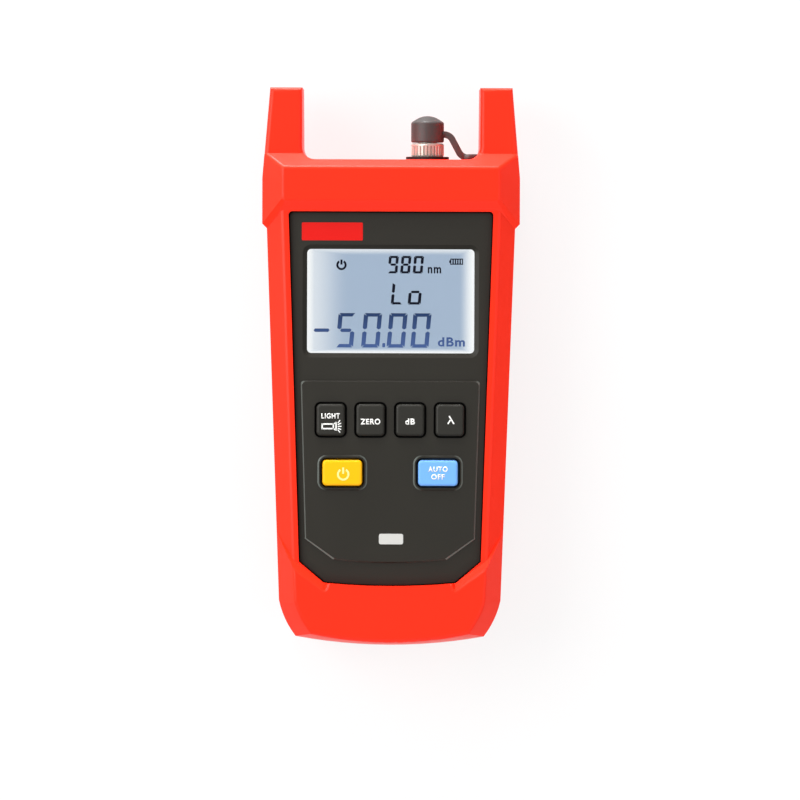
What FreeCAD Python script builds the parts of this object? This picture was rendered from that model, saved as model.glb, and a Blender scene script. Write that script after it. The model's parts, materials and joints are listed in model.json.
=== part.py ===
import FreeCAD, Part
import math
import os
import re
import Sketcher
from FreeCAD import Vector

# Handheld optical power meter for fibre links, lying on its back in a moulded rubber boot.
# Frame: +X to the right of the face, +Y towards the optical port, +Z out of the face.
# The origin is under the middle of the part, on the surface that it lies on. Millimetres.

SIZES = {
    # Hard case inside the boot
    "case_length": 145.9,
    "case_top_width": 73.6,
    "case_low_width": 64.1,
    "case_foot_width": 53.6,
    "case_corner": 10.0,
    "case_thick": 33.8,
    "case_bevel": 1.5,
    "case_wall": 2.2,
    "rear_depth": 10.4,
    "rear_wall": 3.0,
    "fit_gap": 0.1,
    # Rubber boot
    "boot_wall": 2.8,
    "boot_top": 2.6,
    "boot_foot": 4.0,
    "boot_back": 2.6,
    "waist_relief": 1.2,
    "lip_thick": 3.6,
    "side_bevel": 5.0,
    "bevel_depth": 4.0,
    "back_bevel": 3.0,
    "corner_radius": 28.0,
    "foot_bow": 2.7,
    "foot_bevel": 1.2,
    # Boot bumpers and arms
    "bumper_rise": 2.0,
    "bumper_side": 0.8,
    "bumper_reach": 21.9,
    "bumper_notch": 1.7,
    "face_inset": 6.5,
    "face_low": 12.9,
    "face_top": 2.5,
    "shoulder_run": 4.4,
    "slant_low": 5.8,
    "step_height": 30.5,
    "step_fall": 10.8,
    "step_run": 15.1,
    "step_slope": 1.25,
    "step_end": 1.0,
    "step_end_rise": 3.2,
    "heel_inset": 5.2,
    "arm_length": 22.5,
    "arm_inset": 8.9,
    "arm_lean": 2.4,
    "arm_tip_back": 11.0,
    "arm_slope_start": 1.0,
    "gap_radius": 4.0,
    "crease_round": 1.4,
    # Front panel
    "panel_rise": 2.2,
    "panel_gap": 0.35,
    "panel_top_width": 63.4,
    "panel_low_width": 56.4,
    "panel_foot_width": 40.8,
    "panel_from_top": 14.05,
    "panel_from_foot": 15.05,
    "panel_corner": 7.45,
    "panel_bow": 1.0,
    "panel_round": 1.2,
    "panel_wall": 1.8,
    "panel_skin": 2.2,
    # Display window
    "window_width": 52.4,
    "window_height": 32.6,
    "window_round": 1.3,
    "window_from_top": 41.8,
    "window_rim": 1.3,
    "window_bevel": 1.4,
    "window_bevel_depth": 0.8,
    "lens_margin": 1.2,
    "lens_thick": 1.4,
    # Display stack on the board
    "glass_margin": 0.55,
    "glass_thick": 1.8,
    "light_thick": 2.2,
    "frame_wall": 0.6,
    "frame_lip": 0.6,
    "frame_overlap": 0.45,
    "zebra_width": 2.6,
    "stack_gap": 0.3,
    # Keypad
    "island_rise": 0.5,
    "island_bevel": 0.4,
    "island_gap": 8.6,
    "island_top_width": 56.2,
    "island_low_width": 53.4,
    "island_foot_width": 35.6,
    "island_height": 57.3,
    "island_corner": 7.6,
    "island_bow": 1.1,
    "key_width": 8.9,
    "key_height": 10.0,
    "key_pitch": 12.45,
    "key_row_inset": 12.3,
    "wide_key_width": 12.5,
    "wide_key_height": 8.1,
    "wide_key_offset": 15.0,
    "row_pitch": 16.6,
    "key_round": 1.3,
    "key_edge": 0.8,
    "key_gap": 0.65,
    "key_rise": 1.3,
    "key_flange": 1.1,
    "key_flange_thick": 1.0,
    "key_play": 0.1,
    "key_post_radius": 2.2,
    "collar_width": 0.9,
    "collar_rise": 0.35,
    "mat_thick": 0.9,
    "mat_margin": 1.5,
    "dome_height": 2.1,
    "dome_foot_radius": 4.0,
    "dome_wall": 0.6,
    # Circuit board and its screws
    "board_thick": 1.6,
    "board_wide_half": 27.6,
    "board_narrow_half": 24.6,
    "board_top_inset": 2.6,
    "board_foot_drop": 14.6,
    "board_notch": 3.0,
    "board_notch_gap": 0.6,
    "post_radius": 2.3,
    "post_top_inset": 5.2,
    "post_top_half": 22.0,
    "post_low_half": 19.0,
    "post_low_rise": 4.0,
    "chip_height": 1.5,
    "chip_half": 5.0,
    "chip_pitch": 15.0,
    # Screws
    "screw_radius": 1.35,
    "screw_play": 0.1,
    "screw_head_radius": 2.4,
    "screw_head": 1.8,
    "case_screw_bite": 9.0,
    "boss_radius": 3.0,
    "boss_inset": 4.9,
    "boss_mid_rise": 1.0,
    "boss_low_half": 20.0,
    "case_screw_seat": 4.0,
    "small_screw_radius": 1.0,
    "small_screw_head_radius": 1.9,
    "small_screw_head": 1.2,
    "board_screw_bite": 3.6,
    # Seals
    "seal_width": 1.0,
    "seal_depth": 0.8,
    "seal_inset": 0.6,
    # Battery bay
    "cell_radius": 7.25,
    "cell_length": 49.5,
    "cell_nub": 1.0,
    "cell_nub_radius": 2.75,
    "cell_gap": 0.5,
    "cell_lift": 0.5,
    "bay_from_foot": 14.0,
    "bay_wall": 1.6,
    "bay_roof": 1.5,
    "contact_thick": 0.4,
    "contact_half": 5.5,
    "spring_length": 3.6,
    "spring_wide_radius": 4.2,
    "spring_tight_radius": 2.4,
    "spring_wire": 0.7,
    "door_thick": 1.6,
    "door_ledge": 2.6,
    "door_screw_ledge": 7.4,
    "door_gap": 0.2,
    "door_round": 2.5,
    "door_screw_half": 17.0,
    "door_screw_bite": 5.0,
    "door_boss_wall": 1.4,
    "grip_rib": 1.0,
    "grip_pitch": 2.4,
    "grip_depth": 0.5,
    "grip_half": 9.0,
    "grip_count": 4,
    "back_window_gap": 0.8,
    # Optical port
    "port_x": 11.45,
    "port_height": 19.4,
    "port_boss_radius": 6.8,
    "port_boss_gap": 0.3,
    "seat_seal": 1.1,
    "barrel_radius": 5.0,
    "barrel_play": 0.05,
    "flange_radius": 7.0,
    "flange_thick": 3.0,
    "spigot_radius": 3.2,
    "spigot_length": 2.4,
    "aperture_radius": 1.3,
    "diode_radius": 2.35,
    "diode_length": 3.6,
    "diode_rim": 0.4,
    "diode_rim_thick": 1.0,
    "pin_radius": 0.23,
    "pin_circle": 1.27,
    "pin_length": 4.2,
    "port_board_half": 7.5,
    "port_board_thick": 1.0,
    "ring_radius": 5.2,
    "ring_length": 4.25,
    "ring_notch": 0.45,
    "ring_notch_half": 0.28,
    "ring_bevel": 0.4,
    "ring_notches": 28,
    "ring_band": 0.9,
    "neck_radius": 3.1,
    "neck_length": 0.5,
    "nose_radius": 4.0,
    "nose_length": 5.7,
    "nose_bevel": 0.4,
    "ferrule_radius": 1.26,
    "key_slot_half": 1.05,
    "key_slot_length": 4.0,
    # Dust cap and its strap
    "cap_radius": 5.2,
    "cap_play": 0.12,
    "cap_stand": 0.3,
    "cap_shoulder": 1.15,
    "cap_slope": 0.85,
    "cap_crown": 1.2,
    "cap_crown_radius": 3.8,
    "cap_root": 0.6,
    "strap_thick": 2.0,
    "strap_width": 4.0,
    "strap_rise": 7.2,
    "strap_bend": 3.0,
    "strap_turn": 62.0,
    "tab_inset": 3.1,
    "tab_radius": 2.6,
    "tab_seat_gap": 0.3,
    "rivet_radius": 1.0,
    "rivet_play": 0.1,
    "rivet_head_radius": 1.8,
    "rivet_head": 0.7,
    # Torch
    "torch_x": 11.9,
    "torch_boss_radius": 4.4,
    "torch_lens_radius": 3.3,
    "torch_lens_thick": 1.6,
    "torch_recess": 0.4,
    "led_radius": 2.5,
    "led_rim": 0.4,
    "led_rim_thick": 1.0,
    "led_length": 2.3,
    "led_lead_radius": 0.25,
    "led_lead_half": 1.27,
    "led_lead_length": 6.0,
}

doc = FreeCAD.newDocument("optical_power_meter")
sheet = doc.addObject("Spreadsheet::Sheet", "Sizes")
for row, (alias, size) in enumerate(SIZES.items(), start=1):
    sheet.set(f"A{row}", alias)
    sheet.set(f"B{row}", str(size))
    sheet.setAlias(f"B{row}", alias)
doc.recompute()

SUB_PARTS = []

# How far a cut runs on past the material, how near counts as touching, a short step over a surface,
# and the turn in degrees that makes an edge a crease
CLEAR = "1"
TOUCH = 1e-4
STEP = 0.02
SHARP = 12


# Values and bindings

def bound(text):
    """The expression with each size taken from the sheet."""
    return re.sub(r"[a-z][a-z_]+", lambda word: f"Sizes.{word[0]}" if word[0] in SIZES else word[0], text)


def at(text):
    """The expression's value in millimetres."""
    return float(sheet.evalExpression(bound(text)))


def bind(thing, setting, text):
    thing.setExpression(setting, bound(text))


def bow(half, rise):
    """Radius of an arc of the given half chord and rise."""
    return f"((({half})^2 + ({rise})^2) / (2 * ({rise})))"


# Outlines: lists of corners, anticlockwise. A third value is the radius of an arc to the next corner,
# which bulges outwards, or inwards after a minus sign.

def symmetric(right, foot=()):
    """A closed outline from its right half, listed from foot to top."""
    left = []
    for k in range(len(right) - 1, -1, -1):
        arc = right[k - 1][2:] if k else foot
        left.append((f"(-{right[k][0]})", right[k][1], *arc))
    return right + left


def rounded(x, y, width, height, radius):
    """A rectangle with round corners about the point x, y."""
    right = f"({x} + ({width}) / 2)"
    left = f"({x} - ({width}) / 2)"
    top = f"({y} + ({height}) / 2)"
    low = f"({y} - ({height}) / 2)"
    return [
        (f"({left} + {radius})", low),
        (f"({right} - {radius})", low, radius),
        (right, f"({low} + {radius})"),
        (right, f"({top} - {radius})", radius),
        (f"({right} - {radius})", top),
        (f"({left} + {radius})", top, radius),
        (left, f"({top} - {radius})"),
        (left, f"({low} + {radius})", radius),
    ]


def rectangle(left, right, low, top):
    return [(left, low), (right, low), (right, top), (left, top)]


def outward_arc(start, end, radius):
    """The short arc that runs anticlockwise from start to end."""
    chord = end - start
    inward = Vector(-chord.y, chord.x, 0).normalize()
    centre = (start + end) * 0.5 + inward * math.sqrt(radius ** 2 - (chord.Length / 2) ** 2)
    first = math.atan2(start.y - centre.y, start.x - centre.x)
    last = math.atan2(end.y - centre.y, end.x - centre.x)
    if last < first:
        last += 2 * math.pi
    return Part.ArcOfCircle(Part.Circle(centre, Vector(0, 0, 1), radius), first, last)


def fix(sketch, kind, place, text):
    """One dimension of a sketch, tied to the sheet."""
    index = sketch.addConstraint(Sketcher.Constraint(kind, *place, at(text)))
    bind(sketch, f"Constraints[{index}]", text)


def draw(sketch, corners):
    """A closed outline through the corners."""
    points = [Vector(at(corner[0]), at(corner[1]), 0) for corner in corners]
    first = len(sketch.Geometry)
    count = len(corners)
    inward = [len(corner) == 3 and corner[2].startswith("-") for corner in corners]
    for k, corner in enumerate(corners):
        start, end = points[k], points[(k + 1) % count]
        if inward[k]:
            sketch.addGeometry(outward_arc(end, start, at(corner[2][1:])))
        elif len(corner) == 3:
            sketch.addGeometry(outward_arc(start, end, at(corner[2])))
        else:
            sketch.addGeometry(Part.LineSegment(start, end))
    begin = [2 if turned_in else 1 for turned_in in inward]
    for k in range(count):
        follower = (k + 1) % count
        joint = (first + k, 3 - begin[k], first + follower, begin[follower])
        sketch.addConstraint(Sketcher.Constraint("Coincident", *joint))
    for k, corner in enumerate(corners):
        fix(sketch, "DistanceX", (first + k, begin[k]), corner[0])
        fix(sketch, "DistanceY", (first + k, begin[k]), corner[1])
        if len(corner) == 3:
            fix(sketch, "Radius", (first + k,), corner[2].lstrip("-"))


def draw_circle(sketch, x, y, radius):
    circle = sketch.addGeometry(Part.Circle(Vector(at(x), at(y), 0), Vector(0, 0, 1), at(radius)))
    fix(sketch, "DistanceX", (circle, 3), x)
    fix(sketch, "DistanceY", (circle, 3), y)
    fix(sketch, "Radius", (circle,), radius)


# Bodies and their features

def new_body(label):
    body = doc.addObject("PartDesign::Body", label)
    body.Label = label
    SUB_PARTS.append(body)
    return body


def new_sketch(body, plane="XY_Plane", shift=("0", "0", "0")):
    sketch = body.newObject("Sketcher::SketchObject", "Outline")
    support = [origin for origin in body.Origin.OriginFeatures if origin.Role == plane]
    sketch.AttachmentSupport = [(support[0], "")]
    sketch.MapMode = "FlatFace"
    for axis, text in zip("xyz", shift):
        bind(sketch, f"AttachmentOffset.Base.{axis}", text)
    return sketch


def fill(sketch, outlines, circles):
    for outline in outlines:
        draw(sketch, outline)
    for circle in circles:
        draw_circle(sketch, *circle)
    doc.recompute()


def pad(body, low, high, outlines=(), circles=()):
    """Material between two heights."""
    sketch = new_sketch(body, shift=("0", "0", low))
    fill(sketch, outlines, circles)
    feature = body.newObject("PartDesign::Pad", "Pad")
    feature.Profile = sketch
    bind(feature, "Length", f"{high} - ({low})")
    doc.recompute()
    return feature


def pocket(body, low, high, outlines=(), circles=()):
    """A cut between two heights."""
    before = body.Shape.Volume
    sketch = new_sketch(body, shift=("0", "0", high))
    fill(sketch, outlines, circles)
    feature = body.newObject("PartDesign::Pocket", "Pocket")
    feature.Profile = sketch
    bind(feature, "Length", f"{high} - ({low})")
    doc.recompute()
    if body.Shape.Volume >= before:
        raise RuntimeError(f"a cut in {body.Label} removes nothing")
    return feature


def pad_along(body, low, high, outlines=(), circles=()):
    """Material between two places along Y; the outlines are in X and Z."""
    sketch = new_sketch(body, "XZ_Plane", ("0", "0", f"-({high})"))
    fill(sketch, outlines, circles)
    feature = body.newObject("PartDesign::Pad", "Pad")
    feature.Profile = sketch
    bind(feature, "Length", f"{high} - ({low})")
    doc.recompute()
    return feature


def pocket_along(body, low, high, outlines=(), circles=()):
    """A cut between two places along Y; the outlines are in X and Z."""
    before = body.Shape.Volume
    sketch = new_sketch(body, "XZ_Plane", ("0", "0", f"-({high})"))
    fill(sketch, outlines, circles)
    feature = body.newObject("PartDesign::Pocket", "Pocket")
    feature.Profile = sketch
    feature.Reversed = True
    bind(feature, "Length", f"{high} - ({low})")
    doc.recompute()
    if body.Shape.Volume >= before:
        raise RuntimeError(f"a cut in {body.Label} removes nothing")
    return feature


def loft(body, kind, levels):
    """Straight facets through outlines, each at its height."""
    sketches = []
    for height, outline in levels:
        sketch = new_sketch(body, shift=("0", "0", height))
        fill(sketch, [outline], [])
        sketches.append(sketch)
    feature = body.newObject(f"PartDesign::{kind}", "Loft")
    feature.Profile = sketches[0]
    feature.Sections = sketches[1:]
    feature.Ruled = True
    doc.recompute()
    return feature


def turn(body, profile, plane, shift):
    """Material turned about the sketch's upright axis; the profile gives radius and place along it."""
    sketch = new_sketch(body, plane, shift)
    fill(sketch, [profile], [])
    feature = body.newObject("PartDesign::Revolution", "Revolution")
    feature.Profile = sketch
    feature.ReferenceAxis = (sketch, ["V_Axis"])
    feature.Angle = 360
    doc.recompute()
    return feature


def turned(label, profile, x, z):
    """A sub-part turned about an axis along Y."""
    body = new_body(label)
    turn(body, profile, "XY_Plane", (x, "0", z))
    return body


def crease(shape, edge):
    """How far the surface turns over an edge, in degrees: more than zero where it stands out."""
    faces = shape.ancestorsOfType(edge, Part.Face)
    if len(faces) != 2:
        return 0.0
    middle = (edge.FirstParameter + edge.LastParameter) / 2
    point = edge.valueAt(middle)
    normals = [face.normalAt(*face.Surface.parameter(point)) for face in faces]
    along = edge.tangentAt(middle).cross(normals[0]).normalize() * STEP
    if not faces[0].isPartOfDomain(*faces[0].Surface.parameter(point + along)):
        along = along * -1
    turn_angle = math.degrees(normals[0].getAngle(normals[1]))
    return turn_angle if normals[1].dot(along) < 0 else -turn_angle


def soften(body, kind, setting, size, wanted):
    """A fillet or chamfer on the wanted edges."""
    base = body.Tip
    names = []
    for k, edge in enumerate(base.Shape.Edges, start=1):
        if wanted(base.Shape, edge):
            names.append(f"Edge{k}")
    if not names:
        raise RuntimeError(f"no edge to soften in {body.Label}")
    feature = body.newObject(f"PartDesign::{kind}", kind)
    feature.Base = (base, names)
    bind(feature, setting, size)
    doc.recompute()
    return feature


def level(edge, height):
    """True for an edge that lies at one height."""
    box = edge.BoundBox
    return abs(box.ZMin - height) < TOUCH and abs(box.ZMax - height) < TOUCH


# Places along Y
TOTAL = "(case_length + boot_top + boot_foot + arm_length)"
TOP = f"({TOTAL} / 2)"
FOOT = f"(-{TOTAL} / 2)"
SHOULDER = f"({TOP} - arm_length)"
CASE_TOP = f"({SHOULDER} - boot_top)"
CASE_INNER_TOP = f"({CASE_TOP} - case_wall)"
CASE_FOOT = f"({CASE_TOP} - case_length)"
CORNER = f"({CASE_FOOT} + case_corner)"
PANEL_TOP = f"({CASE_TOP} - panel_from_top)"
PANEL_FOOT = f"({CASE_FOOT} + panel_from_foot)"
WINDOW_Y = f"({CASE_TOP} - window_from_top)"
ISLAND_TOP = f"({WINDOW_Y} - window_height / 2 - island_gap)"
KEY_ROW = f"({ISLAND_TOP} - key_row_inset)"
WIDE_ROW = f"({KEY_ROW} - row_pitch)"
BAY_FOOT = f"({CASE_FOOT} + bay_from_foot)"
BAY_TOP = f"({BAY_FOOT} + 2 * contact_thick + spring_length + cell_length + cell_nub)"
DOOR_FOOT = f"({BAY_FOOT} - door_ledge)"
DOOR_TOP = f"({BAY_TOP} + door_screw_ledge)"
SEAT = f"({SHOULDER} + seat_seal)"
RING_TOP = f"({SEAT} + ring_length)"
NOSE_FOOT = f"({RING_TOP} + neck_length)"
NOSE_TIP = f"({NOSE_FOOT} + nose_length)"
FLANGE_BACK = f"({CASE_INNER_TOP} - flange_thick)"

# Heights
SPLIT = "(boot_back + rear_depth)"
CASE_FRONT = "(boot_back + case_thick)"
PANEL = f"({CASE_FRONT} + panel_rise)"
PANEL_INNER = f"({PANEL} - panel_skin)"
ISLAND = f"({PANEL} + island_rise)"
RAIL = f"({CASE_FRONT} + lip_thick)"
FRONT = f"({RAIL} + bumper_rise)"
BEVEL = f"({RAIL} - bevel_depth)"
LENS_FRONT = f"({PANEL} - window_rim)"
LENS_BACK = f"({LENS_FRONT} - lens_thick)"
FRAME_FRONT = f"({LENS_BACK} - stack_gap)"
GLASS_FRONT = f"({FRAME_FRONT} - frame_lip)"
GLASS_BACK = f"({GLASS_FRONT} - glass_thick)"
BOARD_FRONT = f"({GLASS_BACK} - light_thick)"
BOARD_BACK = f"({BOARD_FRONT} - board_thick)"
MAT_FRONT = f"({BOARD_FRONT} + mat_thick)"
DOME_TOP = f"({MAT_FRONT} + dome_height)"
FLANGE_FRONT = f"({PANEL_INNER} - key_play)"
FLANGE_LOW = f"({FLANGE_FRONT} - key_flange_thick)"
REAR_INNER = "(boot_back + rear_wall)"
DOOR_SEAT = "(boot_back + door_thick)"
CELL_Z = f"({DOOR_SEAT} + cell_lift + cell_radius)"
BAY_CEILING = f"({CELL_Z} + cell_radius + cell_lift)"
PORT_Z = "(boot_back + port_height)"

# Places across X
CELL_PITCH = "(2 * cell_radius + cell_gap)"
BAY_HALF = f"({CELL_PITCH} + cell_radius + cell_gap)"
DOOR_HALF = f"({BAY_HALF} + door_ledge)"
BUMPER_HALF = "(case_top_width / 2 + boot_wall + bumper_side)"
ARM_INNER = "(case_top_width / 2 - arm_inset)"
TAB_X = f"({ARM_INNER} - tab_inset)"


def case_half(y):
    """Half the width of the case's tapered sides at a place along Y."""
    share = f"(({y} - {CORNER}) / ({CASE_TOP} - {CORNER}))"
    return f"(case_low_width / 2 + (case_top_width - case_low_width) / 2 * {share})"


def case_outline(inset):
    return symmetric([
        (f"(case_foot_width / 2 - ({inset}))", f"({CASE_FOOT} + ({inset}))"),
        (f"(case_low_width / 2 - ({inset}))", CORNER),
        (f"(case_top_width / 2 - ({inset}))", f"({CASE_TOP} - ({inset}))"),
    ])


def panel_outline(inset):
    foot = f"(panel_foot_width / 2 - ({inset}))"
    top = f"(panel_top_width / 2 - ({inset}))"
    return symmetric([
        (foot, f"({PANEL_FOOT} + panel_bow + ({inset}))"),
        (f"(panel_low_width / 2 - ({inset}))", f"({PANEL_FOOT} + panel_corner + ({inset}) / 2)"),
        (top, f"({PANEL_TOP} - ({inset}) - panel_round)", "panel_round"),
        (f"({top} - panel_round)", f"({PANEL_TOP} - ({inset}))"),
    ], (bow(foot, "panel_bow"),))


def island_outline(inset):
    foot = f"(island_foot_width / 2 - ({inset}))"
    top = f"(island_top_width / 2 - ({inset}))"
    low = f"({ISLAND_TOP} - island_height)"
    return symmetric([
        (foot, f"({low} + island_bow + ({inset}))"),
        (f"(island_low_width / 2 - ({inset}))", f"({low} + island_corner + ({inset}) / 2)"),
        (top, f"({ISLAND_TOP} - ({inset}) - panel_round)", "panel_round"),
        (f"({top} - panel_round)", f"({ISLAND_TOP} - ({inset}))"),
    ], (bow(foot, "island_bow"),))


def window_outline(margin):
    return rounded("0", WINDOW_Y, f"window_width + 2 * ({margin})", f"window_height + 2 * ({margin})",
                   f"(window_round + ({margin}))")


def plate_outline(margin):
    """A square-cornered rectangle about the window."""
    half = f"(window_width / 2 + {margin})"
    tall = f"(window_height / 2 + {margin})"
    return rectangle(f"(-{half})", half, f"({WINDOW_Y} - {tall})", f"({WINDOW_Y} + {tall})")


def door_outline(margin):
    middle = f"(({DOOR_FOOT} + {DOOR_TOP}) / 2)"
    return rounded("0", middle, f"2 * ({DOOR_HALF} + ({margin}))",
                   f"{DOOR_TOP} - {DOOR_FOOT} + 2 * ({margin})", f"(door_round + ({margin}))")


def bay_outline(margin):
    half = f"({BAY_HALF} + ({margin}))"
    return rectangle(f"(-{half})", half, f"({BAY_FOOT} - ({margin}))", f"({BAY_TOP} + ({margin}))")


# Keys: name, centre and size. The upper row of four is spaced evenly about the middle.
OUTER_KEY = "(3 * key_pitch / 2)"
INNER_KEY = "(key_pitch / 2)"
UPPER_KEYS = [
    ("light_key", f"(-{OUTER_KEY})", KEY_ROW, "key_width", "key_height"),
    ("zero_key", f"(-{INNER_KEY})", KEY_ROW, "key_width", "key_height"),
    ("decibel_key", INNER_KEY, KEY_ROW, "key_width", "key_height"),
    ("wavelength_key", OUTER_KEY, KEY_ROW, "key_width", "key_height"),
]
WIDE_KEYS = [
    ("power_key", "(-wide_key_offset)", WIDE_ROW, "wide_key_width", "wide_key_height"),
    ("auto_off_key", "wide_key_offset", WIDE_ROW, "wide_key_width", "wide_key_height"),
]
KEYS = UPPER_KEYS + WIDE_KEYS


def key_outline(key, margin):
    name, x, y, width, height = key
    return rounded(x, y, f"{width} + 2 * ({margin})", f"{height} + 2 * ({margin})",
                   f"(key_round + ({margin}))")


# Screw places
def both_sides(places):
    return [(sign + x + ")", y) for x, y in places for sign in ("(-", "(")]


MID_BOSS = f"({ISLAND_TOP} + boss_mid_rise)"
TOP_BOSS = f"({CASE_TOP} - boss_inset)"
CASE_SCREWS = both_sides([
    (f"({case_half(TOP_BOSS)} - boss_inset)", TOP_BOSS),
    (f"({case_half(MID_BOSS)} - boss_inset)", MID_BOSS),
    ("boss_low_half", f"({CASE_FOOT} + boss_inset)"),
])
BOARD_FOOT = f"({WIDE_ROW} - board_foot_drop)"
BOARD_SCREWS = both_sides([
    ("post_top_half", f"({PANEL_TOP} - post_top_inset)"),
    ("post_low_half", f"({BOARD_FOOT} + post_low_rise)"),
])
DOOR_SCREWS = both_sides([("door_screw_half", f"({BAY_TOP} + door_screw_ledge / 2)")])


def circles_at(places, radius):
    return [(x, y, radius) for x, y in places]


# Boot

def boot_side(y):
    return f"({case_half(y)} + boot_wall)"


def sleeve_outline(inset, foot_inset):
    foot = f"(case_foot_width / 2 + boot_wall - ({inset}))"
    return symmetric([
        (foot, f"({FOOT} + foot_bow + ({foot_inset}))", "corner_radius"),
        (f"({boot_side(CORNER)} - ({inset}))", CORNER),
        (f"({boot_side(CASE_TOP)} - ({inset}))", CASE_TOP),
    ], (bow(foot, "foot_bow"),))


SLANT = f"({SHOULDER} - slant_low)"
FACE_TOP = f"({SHOULDER} - face_top)"
BUMPER_TOP = f"({FACE_TOP} + shoulder_run)"
BUMPER_LOW = f"({SHOULDER} - bumper_reach)"


def slant_half(y):
    """Half the width over the arms, which lean in above the bumper."""
    return f"({BUMPER_HALF} - arm_lean * ({y} - {SLANT}) / ({TOP} - {SLANT}))"


def bumper_outline(inset):
    return symmetric([
        (f"({BUMPER_HALF} - bumper_notch - ({inset}))", f"({BUMPER_LOW} + ({inset}))"),
        (f"({BUMPER_HALF} - ({inset}))", f"({BUMPER_LOW} + bumper_notch + ({inset}))"),
        (f"({BUMPER_HALF} - ({inset}))", SLANT),
        (f"({slant_half(BUMPER_TOP)} - ({inset}))", f"({BUMPER_TOP} - ({inset}))"),
    ])


def bumper_face():
    half = f"({BUMPER_HALF} - face_inset)"
    low = f"({SHOULDER} - face_low)"
    return symmetric([
        (f"({half} - bumper_notch / 2)", low),
        (half, f"({low} + bumper_notch / 2)"),
        (half, SLANT),
        (half, FACE_TOP),
    ])


def heel_outline(inset, foot_inset, lift):
    """Lower bumper: its upper edge runs down from both sides to the panel's foot."""
    foot = f"(case_foot_width / 2 + boot_wall - ({inset}))"
    step = f"({FOOT} + step_height + ({lift}))"
    side = f"({boot_side(step)} - ({inset}))"
    inner = f"({boot_side(f'({FOOT} + step_height)')} - step_run)"
    fall = f"(step_fall / step_run * ({side} - {inner}))"
    inner_y = f"({FOOT} + step_height - step_fall + ({lift}))"
    return symmetric([
        (foot, f"({FOOT} + foot_bow + ({foot_inset}))", "corner_radius"),
        (f"({boot_side(CORNER)} - ({inset}))", CORNER),
        (side, f"({inner_y} + {fall})"),
        (inner, inner_y),
        (f"({inner} - step_end)", f"({inner_y} + step_end_rise)"),
    ], (bow(foot, "foot_bow"),))


def arm_outline(side):
    inner = f"({side} * ({ARM_INNER} - gap_radius))"
    low = f"({SHOULDER} - gap_radius)"
    outline = [
        (inner, low),
        (f"({side} * {slant_half(low)})", low),
        (f"({side} * {slant_half(TOP)})", TOP),
        (inner, TOP),
    ]
    return outline if side > 0 else outline[::-1]


def arm_space():
    """The round-cornered gap between the arms."""
    above = f"({TOP} + {CLEAR})"
    return symmetric([
        (f"({ARM_INNER} - gap_radius)", SHOULDER, "gap_radius"),
        (ARM_INNER, f"({SHOULDER} + gap_radius)"),
        (ARM_INNER, above),
    ])


def make_boot():
    boot = new_body("rubber_boot")
    below = f"(-{CLEAR})"
    above = f"({FRONT} + {CLEAR})"
    loft(boot, "AdditiveLoft", [
        ("waist_relief", sleeve_outline("back_bevel", "back_bevel")),
        ("(waist_relief + back_bevel)", sleeve_outline("0", "0")),
        (BEVEL, sleeve_outline("0", "0")),
        (RAIL, sleeve_outline("side_bevel", "foot_bevel")),
    ])
    loft(boot, "AdditiveLoft", [
        ("0", bumper_outline("back_bevel")),
        ("back_bevel", bumper_outline("0")),
        (BEVEL, bumper_outline("0")),
        (FRONT, bumper_face()),
    ])
    lift = f"(step_slope * ({RAIL} - {BEVEL}))"
    drop = "(-step_slope * bumper_rise)"
    loft(boot, "AdditiveLoft", [
        ("0", heel_outline("back_bevel", "back_bevel", lift)),
        ("back_bevel", heel_outline("0", "0", lift)),
        (BEVEL, heel_outline("0", "0", lift)),
        (FRONT, heel_outline("heel_inset", "foot_bevel", drop)),
    ])
    pad(boot, "back_bevel", BEVEL, [arm_outline(1), arm_outline(-1)])
    pocket(boot, below, above, [arm_space()])
    slope_arm_backs(boot)
    soften(boot, "Fillet", "Radius", "crease_round", on_boot_crease)
    hollow_boot(boot, below, above)


def on_boot_crease(shape, edge):
    """True for an outer edge of an arm's front, of the bumper's shoulder or of a flat front."""
    box = edge.BoundBox
    on_arm = level(edge, at(BEVEL)) and box.YMax > at(BUMPER_TOP) + TOUCH
    above_sides = box.ZMin > at(BEVEL) - TOUCH and not level(edge, at(BEVEL))
    on_shoulder = above_sides and box.YMin > at(SLANT) - TOUCH
    on_flat = level(edge, at(FRONT)) or level(edge, at(RAIL))
    return (on_arm or on_shoulder or on_flat) and crease(shape, edge) > SHARP


def slope_arm_backs(boot):
    """The arms' backs slope forward to their tips."""
    sketch = new_sketch(boot, "YZ_Plane", ("0", "0", f"(-{BUMPER_HALF} - {CLEAR})"))
    start = f"({BUMPER_TOP} + arm_slope_start)"
    rise = f"((arm_tip_back - back_bevel) / ({TOP} - {start}))"
    tip = f"({TOP} + {CLEAR})"
    fill(sketch, [[
        (start, f"(-{CLEAR})"),
        (tip, f"(-{CLEAR})"),
        (tip, f"(arm_tip_back + {CLEAR} * {rise})"),
        (start, "back_bevel"),
    ]], [])
    before = boot.Shape.Volume
    feature = boot.newObject("PartDesign::Pocket", "Pocket")
    feature.Profile = sketch
    feature.Reversed = True
    bind(feature, "Length", f"2 * ({BUMPER_HALF} + {CLEAR})")
    doc.recompute()
    if boot.Shape.Volume >= before:
        raise RuntimeError("the arms' backs are not cut")


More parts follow.
